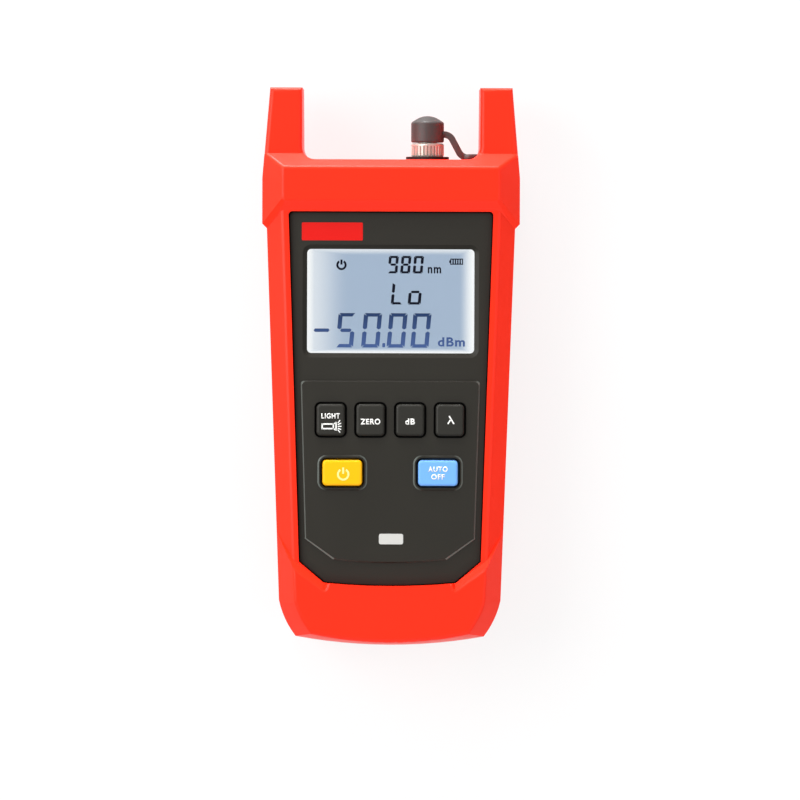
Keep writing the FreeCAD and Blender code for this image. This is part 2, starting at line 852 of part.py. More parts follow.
def hollow_boot(boot, below, above):
    """The space for the case, the front opening, the back window and the holes in the top wall."""
    loft(boot, "SubtractiveLoft", [
        ("boot_back", case_outline("case_bevel - fit_gap")),
        ("(boot_back + case_bevel)", case_outline("-fit_gap")),
        (f"({CASE_FRONT} - case_bevel)", case_outline("-fit_gap")),
        (CASE_FRONT, case_outline("case_bevel - fit_gap")),
    ])
    pocket(boot, f"({CASE_FRONT} - {CLEAR})", above, [panel_outline("-panel_gap")])
    pocket(boot, below, f"(boot_back + {CLEAR})", [door_outline("back_window_gap")])
    pocket_along(boot, CASE_TOP, f"({SHOULDER} + {CLEAR})", circles=[
        ("port_x", PORT_Z, "(port_boss_radius + port_boss_gap)"),
        ("(-torch_x)", PORT_Z, "(torch_boss_radius + port_boss_gap)"),
        (TAB_X, PORT_Z, "(rivet_radius + rivet_play)"),
    ])
    pocket_along(boot, SHOULDER, f"({SHOULDER} + gap_radius)", circles=[
        (TAB_X, PORT_Z, "(tab_radius + tab_seat_gap)"),
    ])


# Case shells

def make_front_shell():
    shell = new_body("front_shell")
    loft(shell, "AdditiveLoft", [
        (SPLIT, case_outline("0")),
        (f"({CASE_FRONT} - case_bevel)", case_outline("0")),
        (CASE_FRONT, case_outline("case_bevel")),
    ])
    pad(shell, CASE_FRONT, PANEL, [panel_outline("0")])
    loft(shell, "AdditiveLoft", [(PANEL, island_outline("0")), (ISLAND, island_outline("island_bevel"))])
    collar = f"({ISLAND} + collar_rise)"
    for key in WIDE_KEYS:
        loft(shell, "AdditiveLoft", [
            (ISLAND, key_outline(key, "key_gap + collar_width")),
            (collar, key_outline(key, "key_gap + collar_width / 2")),
        ])
    pocket(shell, SPLIT, f"({CASE_FRONT} - case_wall)", [case_outline("case_wall")])
    pocket(shell, f"({CASE_FRONT} - case_wall)", PANEL_INNER, [panel_outline("panel_wall")])
    pocket(shell, PANEL_INNER, PANEL, [window_outline("0")])
    loft(shell, "SubtractiveLoft", [
        (f"({PANEL} - window_bevel_depth)", window_outline("0")),
        (PANEL, window_outline("window_bevel")),
    ])
    pocket(shell, PANEL_INNER, LENS_FRONT, [window_outline("lens_margin + fit_gap")])
    pocket(shell, PANEL_INNER, collar, [key_outline(key, "key_gap") for key in KEYS])
    pad(shell, SPLIT, f"({CASE_FRONT} - case_wall)", circles=circles_at(CASE_SCREWS, "boss_radius"))
    pad(shell, BOARD_FRONT, PANEL_INNER, circles=circles_at(BOARD_SCREWS, "post_radius"))
    pocket(shell, SPLIT, f"({SPLIT} + case_screw_bite + screw_play)",
           circles=circles_at(CASE_SCREWS, "(screw_radius + screw_play)"))
    pocket(shell, BOARD_FRONT, f"({BOARD_FRONT} + board_screw_bite + screw_play)",
           circles=circles_at(BOARD_SCREWS, "(small_screw_radius + screw_play)"))
    add_end_bosses(shell)


def add_end_bosses(shell):
    """Bosses that carry the optical port and the torch through the boot's top wall."""
    pad_along(shell, CASE_TOP, SHOULDER, circles=[
        ("port_x", PORT_Z, "port_boss_radius"),
        ("(-torch_x)", PORT_Z, "torch_boss_radius"),
    ])
    pocket_along(shell, CASE_INNER_TOP, SHOULDER, circles=[
        ("port_x", PORT_Z, "(barrel_radius + barrel_play)"),
        ("(-torch_x)", PORT_Z, "(led_radius + barrel_play)"),
    ])
    pocket_along(shell, f"({SHOULDER} - torch_recess - torch_lens_thick)", SHOULDER, circles=[
        ("(-torch_x)", PORT_Z, "(torch_lens_radius + barrel_play)"),
    ])
    pocket_along(shell, CASE_INNER_TOP, CASE_TOP, circles=[(TAB_X, PORT_Z, "(rivet_radius + rivet_play)")])


def make_rear_shell():
    shell = new_body("rear_shell")
    bay_roof = f"({BAY_CEILING} + bay_roof)"
    loft(shell, "AdditiveLoft", [
        ("boot_back", case_outline("case_bevel")),
        ("(boot_back + case_bevel)", case_outline("0")),
        (SPLIT, case_outline("0")),
    ])
    pocket(shell, REAR_INNER, SPLIT, [case_outline("case_wall")])
    pad(shell, REAR_INNER, bay_roof, [bay_outline("bay_wall")])
    pad(shell, REAR_INNER, SPLIT, circles=circles_at(CASE_SCREWS, "boss_radius"))
    pad(shell, REAR_INNER, f"({DOOR_SEAT} + door_screw_bite + door_boss_wall)",
        circles=circles_at(DOOR_SCREWS, "(small_screw_radius + door_boss_wall)"))
    pocket(shell, "boot_back", BAY_CEILING, [bay_outline("0")])
    pocket(shell, "boot_back", DOOR_SEAT, [door_outline("door_gap")])
    pocket(shell, DOOR_SEAT, f"({DOOR_SEAT} + seal_depth)", [
        bay_outline("seal_inset + seal_width"),
        bay_outline("seal_inset"),
    ])
    pocket(shell, DOOR_SEAT, f"({DOOR_SEAT} + door_screw_bite + screw_play)",
           circles=circles_at(DOOR_SCREWS, "(small_screw_radius + screw_play)"))
    pocket(shell, "boot_back", "(boot_back + case_screw_seat)",
           circles=circles_at(CASE_SCREWS, "(screw_head_radius + screw_play)"))
    pocket(shell, "boot_back", SPLIT, circles=circles_at(CASE_SCREWS, "(screw_radius + screw_play)"))
    pocket(shell, f"({SPLIT} - seal_depth)", SPLIT, [
        case_outline("seal_inset"),
        case_outline("seal_inset + seal_width"),
    ])


def make_seals():
    case_seal = new_body("case_seal")
    pad(case_seal, f"({SPLIT} - seal_depth)", SPLIT, [
        case_outline("seal_inset"),
        case_outline("seal_inset + seal_width"),
    ])
    door_seal = new_body("door_seal")
    pad(door_seal, DOOR_SEAT, f"({DOOR_SEAT} + seal_depth)", [
        bay_outline("seal_inset + seal_width"),
        bay_outline("seal_inset"),
    ])
    turned("port_seal", [
        ("(barrel_radius + barrel_play)", SHOULDER),
        ("port_boss_radius", SHOULDER),
        ("port_boss_radius", SEAT),
        ("(barrel_radius + barrel_play)", SEAT),
    ], "port_x", PORT_Z)


# Display

def make_display():
    lens = new_body("display_window")
    pad(lens, LENS_BACK, LENS_FRONT, [window_outline("lens_margin")])
    frame = new_body("display_frame")
    pad(frame, BOARD_FRONT, FRAME_FRONT, [plate_outline("(glass_margin + frame_wall)")])
    pocket(frame, BOARD_FRONT, GLASS_FRONT, [plate_outline("(glass_margin + fit_gap)")])
    pocket(frame, GLASS_FRONT, FRAME_FRONT, [plate_outline("(glass_margin - frame_overlap)")])
    glass = new_body("display_glass")
    pad(glass, GLASS_BACK, GLASS_FRONT, [plate_outline("glass_margin")])
    half = "(window_width / 2 + glass_margin)"
    tall = "(window_height / 2 + glass_margin)"
    foot = f"({WINDOW_Y} - {tall})"
    light = new_body("backlight_plate")
    light_foot = f"({foot} + zebra_width + fit_gap)"
    pad(light, BOARD_FRONT, GLASS_BACK, [rectangle(f"(-{half})", half, light_foot, f"({WINDOW_Y} + {tall})")])
    zebra = new_body("contact_strip")
    pad(zebra, BOARD_FRONT, GLASS_BACK, [rectangle(f"(-{half})", half, foot, f"({foot} + zebra_width)")])


# Keypad

def make_keys():
    for key in KEYS:
        body = new_body(key[0])
        pad(body, FLANGE_LOW, FLANGE_FRONT, [key_outline(key, "key_flange")])
        face = f"({ISLAND} + key_rise)"
        pad(body, FLANGE_FRONT, face, [key_outline(key, "0")])
        pad(body, DOME_TOP, FLANGE_LOW, circles=[(key[1], key[2], "key_post_radius")])
        soften(body, "Fillet", "Radius", "key_edge", lambda shape, edge: level(edge, at(face)))


def make_keypad_mat():
    mat = new_body("keypad_mat")
    half = f"({OUTER_KEY} + dome_foot_radius + mat_margin)"
    top = f"({KEY_ROW} + dome_foot_radius + mat_margin)"
    low = f"({WIDE_ROW} - dome_foot_radius - mat_margin)"
    pad(mat, BOARD_FRONT, MAT_FRONT, [rectangle(f"(-{half})", half, low, top)])
    roof = f"({DOME_TOP} - dome_wall)"
    for name, x, y, width, height in KEYS:
        turn(mat, [
            ("(dome_foot_radius - dome_wall)", MAT_FRONT),
            ("dome_foot_radius", MAT_FRONT),
            ("key_post_radius", DOME_TOP),
            ("0", DOME_TOP),
            ("0", roof),
            ("(key_post_radius - dome_wall)", roof),
        ], "XZ_Plane", (x, "0", f"-({y})"))
    pocket(mat, BOARD_FRONT, MAT_FRONT, circles=[
        (x, y, "(dome_foot_radius - dome_wall)") for name, x, y, width, height in KEYS
    ])


# Circuit board

def make_board():
    board = new_body("main_board")
    notch = f"({MID_BOSS} + boss_radius + board_notch_gap)"
    pad(board, BOARD_BACK, BOARD_FRONT, [symmetric([
        ("board_narrow_half", BOARD_FOOT),
        ("board_narrow_half", notch),
        ("board_wide_half", f"({notch} + board_notch)"),
        ("board_wide_half", f"({PANEL_TOP} - board_top_inset)"),
    ])], circles_at(BOARD_SCREWS, "(small_screw_radius + screw_play)"))
    chips = new_body("board_chips")
    low = f"({WINDOW_Y} - chip_half)"
    high = f"({WINDOW_Y} + chip_half)"
    pad(chips, f"({BOARD_BACK} - chip_height)", BOARD_BACK, [
        rectangle(f"({x} - chip_half)", f"({x} + chip_half)", low, high)
        for x in ("(-chip_pitch)", "0", "chip_pitch")
    ])


# Screws, each turned about an upright axis, with its head towards the back

def make_screws(label, places, seat, bite, radius, head_radius, head):
    screws = new_body(label)
    for x, y in places:
        turn(screws, [
            ("0", f"({seat} - {head})"),
            (head_radius, f"({seat} - {head})"),
            (head_radius, seat),
            (radius, seat),
            (radius, f"({bite})"),
            ("0", f"({bite})"),
        ], "XZ_Plane", (x, "0", f"-({y})"))


def make_all_screws():
    make_screws("case_screws", CASE_SCREWS, "(boot_back + case_screw_seat)", f"{SPLIT} + case_screw_bite",
                "screw_radius", "screw_head_radius", "screw_head")
    make_screws("board_screws", BOARD_SCREWS, BOARD_BACK, f"{BOARD_FRONT} + board_screw_bite",
                "small_screw_radius", "small_screw_head_radius", "small_screw_head")
    make_screws("door_screws", DOOR_SCREWS, "(boot_back + small_screw_head)",
                f"{DOOR_SEAT} + door_screw_bite", "small_screw_radius", "small_screw_head_radius",
                "small_screw_head")


# Battery bay

def make_door():
    door = new_body("battery_door")
    pad(door, "boot_back", DOOR_SEAT, [door_outline("0")],
        circles_at(DOOR_SCREWS, "(small_screw_radius + screw_play)"))
    pocket(door, "boot_back", "(boot_back + small_screw_head)",
           circles=circles_at(DOOR_SCREWS, "(small_screw_head_radius + screw_play)"))
    grips = []
    for k in range(1, round(at("grip_count")) + 1):
        foot = f"({DOOR_TOP} - door_screw_ledge - grip_pitch * {k})"
        grips.append(rectangle("(-grip_half)", "grip_half", foot, f"({foot} + grip_rib)"))
    pocket(door, "boot_back", "(boot_back + grip_depth)", grips)


# Cells: name, place across and whether the nub points to the port end
CELLS = [
    ("battery_cell_left", f"(-{CELL_PITCH})", True),
    ("battery_cell_middle", "0", False),
    ("battery_cell_right", CELL_PITCH, True),
]


def end_place(towards_port, depth):
    """A place in the bay, measured inwards from one end."""
    return f"({BAY_TOP} - ({depth}))" if towards_port else f"({BAY_FOOT} + ({depth}))"


def make_cells():
    for label, x, nub_at_top in CELLS:
        tip = end_place(nub_at_top, "contact_thick")
        step = end_place(nub_at_top, "contact_thick + cell_nub")
        base = end_place(nub_at_top, "contact_thick + cell_nub + cell_length")
        profile = [
            ("0", base),
            ("cell_radius", base),
            ("cell_radius", step),
            ("cell_nub_radius", step),
            ("cell_nub_radius", tip),
            ("0", tip),
        ]
        turned(label, profile if nub_at_top else profile[::-1], x, CELL_Z)


def make_contacts():
    for label, with_spring in (("nub_contacts", False), ("spring_contacts", True)):
        contacts = new_body(label)
        for cell, x, nub_at_top in CELLS:
            at_top = nub_at_top != with_spring
            ends = [end_place(at_top, "0"), end_place(at_top, "contact_thick")]
            low, high = ends[::-1] if at_top else ends
            pad_along(contacts, low, high, [rectangle(
                f"({x} - contact_half)", f"({x} + contact_half)",
                f"({CELL_Z} - contact_half)", f"({CELL_Z} + contact_half)")])
            if with_spring:
                add_spring(contacts, x, at_top)


def add_spring(contacts, x, at_top):
    """A conical coil, wide at its plate, as one sleeve."""
    plate = end_place(at_top, "contact_thick")
    tip = end_place(at_top, "contact_thick + spring_length")
    profile = [
        ("(spring_wide_radius - spring_wire)", plate),
        ("spring_wide_radius", plate),
        ("spring_tight_radius", tip),
        ("(spring_tight_radius - spring_wire)", tip),
    ]
    turn(contacts, profile[::-1] if at_top else profile, "XY_Plane", (x, "0", CELL_Z))


# Optical port

def make_port():
    chamber = "(diode_radius + barrel_play)"
    rim = "(diode_radius + diode_rim)"
    rim_front = f"({FLANGE_BACK} + diode_rim_thick)"
    chamber_front = f"({rim_front} + diode_length + barrel_play)"
    spigot = f"({SEAT} + spigot_length)"
    turned("detector_housing", [
        (f"({rim} + barrel_play)", FLANGE_BACK),
        ("flange_radius", FLANGE_BACK),
        ("flange_radius", CASE_INNER_TOP),
        ("barrel_radius", CASE_INNER_TOP),
        ("barrel_radius", SEAT),
        ("spigot_radius", SEAT),
        ("spigot_radius", spigot),
        ("aperture_radius", spigot),
        ("aperture_radius", chamber_front),
        (chamber, chamber_front),
        (chamber, rim_front),
        (f"({rim} + barrel_play)", rim_front),
    ], "port_x", PORT_Z)
    diode = turned("photodiode", [
        ("0", FLANGE_BACK),
        (rim, FLANGE_BACK),
        (rim, rim_front),
        ("diode_radius", rim_front),
        ("diode_radius", f"({rim_front} + diode_length)"),
        ("0", f"({rim_front} + diode_length)"),
    ], "port_x", PORT_Z)
    pins = [
        ("(port_x - pin_circle)", PORT_Z),
        ("(port_x + pin_circle)", PORT_Z),
        ("port_x", f"({PORT_Z} + pin_circle)"),
    ]
    pad_along(diode, f"({FLANGE_BACK} - pin_length)", FLANGE_BACK, circles=circles_at(pins, "pin_radius"))
    board = new_body("detector_board")
    pad_along(board, f"({FLANGE_BACK} - port_board_thick)", FLANGE_BACK, [
        rectangle("(port_x - port_board_half)", "(port_x + port_board_half)",
                  f"({PORT_Z} - port_board_half)", f"({PORT_Z} + port_board_half)"),
    ], circles_at(pins, "(pin_radius + barrel_play)"))


def make_adapter():
    bore_foot = f"({SEAT} + spigot_length + fit_gap)"
    adapter = turned("port_adapter", [
        ("(spigot_radius + barrel_play)", SEAT),
        ("(ring_radius - ring_bevel)", SEAT),
        ("ring_radius", f"({SEAT} + ring_bevel)"),
        ("ring_radius", f"({RING_TOP} - ring_bevel)"),
        ("(ring_radius - ring_bevel)", RING_TOP),
        ("neck_radius", RING_TOP),
        ("neck_radius", NOSE_FOOT),
        ("nose_radius", NOSE_FOOT),
        ("nose_radius", f"({NOSE_TIP} - nose_bevel)"),
        ("(nose_radius - nose_bevel)", NOSE_TIP),
        ("ferrule_radius", NOSE_TIP),
        ("ferrule_radius", bore_foot),
        ("(spigot_radius + barrel_play)", bore_foot),
    ], "port_x", PORT_Z)
    slot_top = f"({PORT_Z} + nose_radius + {CLEAR})"
    pocket_along(adapter, f"({NOSE_TIP} - key_slot_length)", f"({NOSE_TIP} + {CLEAR})", [
        rectangle("(port_x - key_slot_half)", "(port_x + key_slot_half)",
                  f"({PORT_Z} + ferrule_radius + key_slot_half)", slot_top),
    ])
    add_knurl(adapter)


def add_knurl(adapter):
    """Straight grip notches round the ring, below its plain band."""
    sketch = new_sketch(adapter, "XZ_Plane", ("port_x", PORT_Z, f"-({RING_TOP} - ring_band)"))
    rim = f"(ring_radius + {CLEAR})"
    half = f"(ring_notch_half * (ring_notch + {CLEAR}) / ring_notch)"
    fill(sketch, [[("(ring_radius - ring_notch)", "0"), (rim, f"(-{half})"), (rim, half)]], [])
    before = adapter.Shape.Volume
    notch = adapter.newObject("PartDesign::Pocket", "Notch")
    notch.Profile = sketch
    notch.Reversed = True
    bind(notch, "Length", f"ring_length - ring_band + {CLEAR}")
    doc.recompute()
    around = adapter.newObject("PartDesign::PolarPattern", "Knurl")
    around.Originals = [notch]
    around.Axis = (sketch, ["N_Axis"])
    around.Angle = 360
    bind(around, "Occurrences", "ring_notches")
    adapter.Tip = around
    doc.recompute()
    if adapter.Shape.Volume >= before:
        raise RuntimeError("the ring has no knurl")


def make_dust_cap():
    inner = f"({NOSE_TIP} + cap_play)"
    rim = f"({inner} + cap_shoulder)"
    crown = bow("cap_crown_radius", "cap_crown")
    foot = f"({RING_TOP} + cap_stand)"
    turned("dust_cap", [
        ("(nose_radius + cap_play)", foot),
        ("cap_radius", foot),
        ("cap_radius", f"({rim} - cap_slope)"),
        ("cap_crown_radius", rim, crown),
        ("0", f"({rim} + cap_crown)"),
        ("0", inner),
        ("(nose_radius + cap_play)", inner),
    ], "port_x", PORT_Z)


def make_strap():
    """A band from the cap's side, bent down and back, to a round tab on the boot's top."""
    strap = new_body("cap_strap")
    half = "(strap_thick / 2)"
    sine = "sin(strap_turn * 1 deg)"
    cosine = "cos(strap_turn * 1 deg)"
    root_y = f"({SHOULDER} + {half} + strap_rise)"
    run = f"((strap_rise - 2 * strap_bend * (1 - {cosine})) / {sine})"
    root_x = "(port_x + cap_radius)"
    start_x = f"({root_x} - cap_root)"
    bend_x = f"({root_x} + strap_bend * {sine})"
    bend_y = f"({root_y} - strap_bend * (1 - {cosine}))"
    rest_x = f"({bend_x} + {run} * {cosine})"
    rest_y = f"({bend_y} - {run} * {sine})"
    end_x = f"({rest_x} + strap_bend * {sine})"
    end_y = f"({SHOULDER} + {half})"
    off_x = f"({half} * {sine})"
    off_y = f"({half} * {cosine})"
    wide = f"(strap_bend + {half})"
    tight = f"(strap_bend - {half})"
    pad(strap, f"({PORT_Z} - strap_width / 2)", f"({PORT_Z} + strap_width / 2)", [[
        (start_x, f"({root_y} - {half})"),
        (root_x, f"({root_y} - {half})", f"-{tight}"),
        (f"({bend_x} - {off_x})", f"({bend_y} - {off_y})"),
        (f"({rest_x} - {off_x})", f"({rest_y} - {off_y})", wide),
        (end_x, f"({end_y} - {half})"),
        (TAB_X, f"({end_y} - {half})"),
        (TAB_X, f"({end_y} + {half})"),
        (end_x, f"({end_y} + {half})", f"-{tight}"),
        (f"({rest_x} + {off_x})", f"({rest_y} + {off_y})"),
        (f"({bend_x} + {off_x})", f"({bend_y} + {off_y})", wide),
        (root_x, f"({root_y} + {half})"),
        (start_x, f"({root_y} + {half})"),
    ]])
    tab_top = f"({SHOULDER} + strap_thick)"
    pad_along(strap, SHOULDER, tab_top, circles=[(TAB_X, PORT_Z, "tab_radius")])
    pocket_along(strap, SHOULDER, f"({root_y} + {CLEAR})", circles=[("port_x", PORT_Z, "cap_radius")])
    pocket_along(strap, SHOULDER, tab_top, circles=[(TAB_X, PORT_Z, "(rivet_radius + rivet_play)")])
    pocket_along(strap, f"({tab_top} - rivet_head)", tab_top, circles=[
        (TAB_X, PORT_Z, "(rivet_head_radius + rivet_play)"),
    ])
    turned("strap_rivet", [
        ("0", CASE_INNER_TOP),
        ("rivet_radius", CASE_INNER_TOP),
        ("rivet_radius", f"({tab_top} - rivet_head)"),
        ("rivet_head_radius", f"({tab_top} - rivet_head)"),
        ("rivet_head_radius", tab_top),
        ("0", tab_top),
    ], TAB_X, PORT_Z)


# Torch

def make_torch():
    lens_front = f"({SHOULDER} - torch_recess)"
    lens_back = f"({lens_front} - torch_lens_thick)"
    turned("torch_lens", [
        ("0", lens_back),
        ("torch_lens_radius", lens_back),
        ("torch_lens_radius", lens_front),
        ("0", lens_front),
    ], "(-torch_x)", PORT_Z)
    rim_back = f"({CASE_INNER_TOP} - led_rim_thick)"
    led = turned("torch_led", [
        ("0", rim_back),
        ("(led_radius + led_rim)", rim_back),
        ("(led_radius + led_rim)", CASE_INNER_TOP),
        ("led_radius", CASE_INNER_TOP),
        ("led_radius", f"({CASE_INNER_TOP} + led_length - led_rim)"),
        ("(led_radius - led_rim)", f"({CASE_INNER_TOP} + led_length)"),
        ("0", f"({CASE_INNER_TOP} + led_length)"),
    ], "(-torch_x)", PORT_Z)
    leads = [("(-torch_x - led_lead_half)", PORT_Z), ("(-torch_x + led_lead_half)", PORT_Z)]
    pad_along(led, f"({rim_back} - led_lead_length)", rim_back, circles=circles_at(leads, "led_lead_radius"))


make_boot()
make_front_shell()
make_rear_shell()
make_seals()
make_display()
make_keys()
make_keypad_mat()
make_board()
make_all_screws()
make_door()
make_cells()
make_contacts()
make_port()
make_adapter()
make_dust_cap()
make_strap()
make_torch()
doc.recompute()

# Every object is sound before anything is written
for made in doc.Objects:
    if "Invalid" in made.State or "Error" in made.State:
        raise RuntimeError(f"{made.Label} failed: {made.State}")
for sub_part in SUB_PARTS:
    if sub_part.Shape.isNull() or not sub_part.Shape.isValid():
        raise RuntimeError(f"{sub_part.Label} has no valid shape")

os.makedirs("parts", exist_ok=True)
for sub_part in SUB_PARTS:
    sub_part.Shape.exportStep(f"parts/{sub_part.Label}.step")
    print(sub_part.Label, len(sub_part.Shape.Solids), round(sub_part.Shape.Volume, 1))
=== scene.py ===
import json
import math

import bmesh
import bpy
from mathutils import Matrix, Vector

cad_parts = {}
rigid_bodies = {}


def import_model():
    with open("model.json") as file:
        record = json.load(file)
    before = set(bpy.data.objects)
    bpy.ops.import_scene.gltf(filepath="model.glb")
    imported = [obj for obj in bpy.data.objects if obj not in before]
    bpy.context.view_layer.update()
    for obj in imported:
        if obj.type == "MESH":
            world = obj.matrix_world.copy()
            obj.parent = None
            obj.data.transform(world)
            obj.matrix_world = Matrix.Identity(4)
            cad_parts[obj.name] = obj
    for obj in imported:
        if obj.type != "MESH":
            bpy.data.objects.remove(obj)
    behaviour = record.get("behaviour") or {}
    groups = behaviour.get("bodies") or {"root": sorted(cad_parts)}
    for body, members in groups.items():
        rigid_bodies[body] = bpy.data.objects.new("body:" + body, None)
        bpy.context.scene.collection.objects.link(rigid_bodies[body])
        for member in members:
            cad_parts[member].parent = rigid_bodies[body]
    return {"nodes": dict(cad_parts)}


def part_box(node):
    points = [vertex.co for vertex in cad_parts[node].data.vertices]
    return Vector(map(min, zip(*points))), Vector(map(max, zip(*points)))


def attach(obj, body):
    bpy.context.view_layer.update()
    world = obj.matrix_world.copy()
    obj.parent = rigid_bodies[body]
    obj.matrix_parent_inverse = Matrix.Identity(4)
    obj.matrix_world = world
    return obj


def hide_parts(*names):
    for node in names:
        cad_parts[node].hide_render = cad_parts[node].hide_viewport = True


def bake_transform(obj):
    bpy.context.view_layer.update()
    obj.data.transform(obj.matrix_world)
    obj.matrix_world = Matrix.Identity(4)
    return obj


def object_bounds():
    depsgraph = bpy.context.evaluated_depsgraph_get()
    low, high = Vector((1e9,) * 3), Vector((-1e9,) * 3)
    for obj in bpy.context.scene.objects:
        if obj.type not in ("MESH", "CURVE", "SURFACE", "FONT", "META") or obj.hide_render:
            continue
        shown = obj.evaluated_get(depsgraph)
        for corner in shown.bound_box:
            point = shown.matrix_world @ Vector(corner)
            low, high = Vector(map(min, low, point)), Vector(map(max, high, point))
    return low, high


for stray in list(bpy.data.objects):
    bpy.data.objects.remove(stray)

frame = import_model()
CAD_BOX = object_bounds()
NODES = frame["nodes"]
MM = 0.001

# Camera: the photograph looks almost straight at the face, from far off
PHOTO_SIDE = 800
PHOTO_SCALE = 0.3132 * MM
PHOTO_CENTRE = Vector((3.02 * MM, -10.3 * MM, 40.0 * MM))
CAMERA_DISTANCE = 1.4
CAMERA_RISE = math.radians(2.0)
CAMERA_ROLL = math.radians(0.2)
SENSOR = 36.0

# Prints stand this far out of what carries them, and reach this far into it
PRINT_RISE = 0.04 * MM
PRINT_SINK = 0.03 * MM

# Corners this close together are one corner, and faces that meet this flatly are one face
SAME_CORNER = 0.001 * MM
SAME_FACE = math.radians(0.4)

WHITE = (1.0, 1.0, 1.0, 1.0)
BLACK = (0.0, 0.0, 0.0, 1.0)

# Moulded surfaces: the size and detail of their uneven patches, the grain's detail, and the gloss's share
PATCH = 18 * MM
PATCH_DETAIL = 4.0
GRAIN_DETAIL = 3.0
GLOSS_SPREAD = 0.15

# Clear plastic: its polish, and the refractive index of acrylic
POLISHED = 0.02
ACRYLIC_INDEX = 1.49

# Display: the light of its border fades over these widths, and its base is this share of its colour
BROAD_GLOW = 14 * MM
SIDE_GLOW = 5.4 * MM
HEAD_GLOW = 2.6 * MM
FOOT_GLOW = 2.2 * MM
GLOW_RIM = 0.6 * MM
FAINT_GLOW = 0.65
UNLIT_SHARE = 0.1


# Materials

def linear(red, green, blue):
    """A screen colour, 0 to 255 a channel, as linear light by the sRGB curve."""
    def channel(value):
        share = value / 255
        return share / 12.92 if share <= 0.04045 else ((share + 0.055) / 1.055) ** 2.4
    return (channel(red), channel(green), channel(blue), 1.0)


def shaded(colour, share):
    return tuple(channel * share for channel in colour[:3]) + (1.0,)


def new_material(name):
    """A material, its node tree and its shader."""
    material = bpy.data.materials.new(name)
    material.use_nodes = True
    return material, material.node_tree, material.node_tree.nodes["Principled BSDF"]


def fill(node, values):
    """Sets inputs of a node to fixed values."""
    for socket, value in values.items():
        node.inputs[socket].default_value = value


def feed(tree, socket, value):
    """Gives a socket what another socket carries, or a fixed value."""
    if isinstance(value, bpy.types.NodeSocket):
        tree.links.new(value, socket)
    else:
        socket.default_value = value


def place_on(tree):
    """The place on the object, as a vector."""
    return tree.nodes.new("ShaderNodeTexCoord").outputs["Object"]


def axes_of(tree, vector):
    parts = tree.nodes.new("ShaderNodeSeparateXYZ")
    tree.links.new(vector, parts.inputs["Vector"])
    return parts.outputs


def noise(tree, place, size, detail):
    texture = tree.nodes.new("ShaderNodeTexNoise")
    fill(texture, {"Scale": 1 / size, "Detail": detail})
    tree.links.new(place, texture.inputs["Vector"])
    return texture.outputs["Fac"]


def calculate(tree, operation, first, second=None):
    """The outcome of a sum or a test; each value is a socket or a number."""
    node = tree.nodes.new("ShaderNodeMath")
    node.operation = operation
    feed(tree, node.inputs[0], first)
    if second is not None:
        feed(tree, node.inputs[1], second)
    return node.outputs["Value"]


def ramp(tree, value, none_at, full_at):
    """From 0 to 1, smoothly, as a value goes from one place to another."""
    span = tree.nodes.new("ShaderNodeMapRange")
    span.interpolation_type = "SMOOTHSTEP"
    fill(span, {"From Min": none_at, "From Max": full_at})
    tree.links.new(value, span.inputs["Value"])
    return span.outputs["Result"]


def mixed(tree, share, first, second):
    """Two colours mixed by the share of the second; each is a socket or a fixed colour."""
    mix = tree.nodes.new("ShaderNodeMix")
    mix.data_type = "RGBA"
    tree.links.new(share, mix.inputs["Factor"])
    feed(tree, mix.inputs["A"], first)
    feed(tree, mix.inputs["B"], second)
    return mix.outputs["Result"]


def surface(name, colour, roughness, metallic=0.0, shine=0.25, spread=0.08, grain=0.7 * MM,
            relief=0.012 * MM, painted_shade_reach=0.0):
    """A moulded or turned surface: uneven colour and gloss, a fine grain, and painted shade that darkens it
    deep in a gap.
    """
    material, tree, shader = new_material(name)
    fill(shader, {"Metallic": metallic, "Specular IOR Level": shine})
    place = place_on(tree)
    patches = noise(tree, place, PATCH, PATCH_DETAIL)
    tint = mixed(tree, patches, shaded(colour, 1 - spread), shaded(colour, 1 + spread))
    # Painted shade: ambient occlusion darkens the colour deep in narrow gaps.
    if painted_shade_reach:
        gap_shade = tree.nodes.new("ShaderNodeAmbientOcclusion")
        gap_shade.inputs["Distance"].default_value = painted_shade_reach
        tree.links.new(tint, gap_shade.inputs["Color"])
        tint = gap_shade.outputs["Color"]
    tree.links.new(tint, shader.inputs["Base Color"])
    fine = noise(tree, place, grain, GRAIN_DETAIL)
    gloss = tree.nodes.new("ShaderNodeMapRange")
    fill(gloss, {
        "To Min": roughness * (1 - GLOSS_SPREAD),
        "To Max": min(1.0, roughness * (1 + GLOSS_SPREAD)),
    })
    tree.links.new(fine, gloss.inputs["Value"])
    tree.links.new(gloss.outputs["Result"], shader.inputs["Roughness"])
    bump = tree.nodes.new("ShaderNodeBump")
    bump.inputs["Distance"].default_value = relief
    tree.links.new(fine, bump.inputs["Height"])
    tree.links.new(bump.outputs["Normal"], shader.inputs["Normal"])
    return material


def painted_highlight(material, colour, flattest, steepest, full_side, highlight_grows_below, highlight_full_below, highlight_least_share):
    """Painted highlight: another colour on slanted facets that face sideways, most of all on those low on the
    face.
    """
    tree = material.node_tree
    base = tree.nodes["Principled BSDF"].inputs["Base Color"]
    before = base.links[0].from_socket
    facet = axes_of(tree, tree.nodes.new("ShaderNodeNewGeometry").outputs["True Normal"])
    place = axes_of(tree, place_on(tree))
    slanted = calculate(tree, "MULTIPLY", calculate(tree, "LESS_THAN", facet["Z"], flattest),
                        calculate(tree, "GREATER_THAN", facet["Z"], steepest))
    sideways = calculate(tree, "DIVIDE", calculate(tree, "ABSOLUTE", facet["X"]), full_side)
    share = calculate(tree, "MULTIPLY", slanted, calculate(tree, "MINIMUM", sideways, 1.0))
    # The painted highlight is strongest low on the face and keeps a share everywhere else.
    highlight_by_height = calculate(tree, "MAXIMUM", ramp(tree, place["Y"], highlight_grows_below, highlight_full_below), highlight_least_share)
    share = calculate(tree, "MULTIPLY", share, highlight_by_height)
    tree.links.new(mixed(tree, share, before, colour), base)


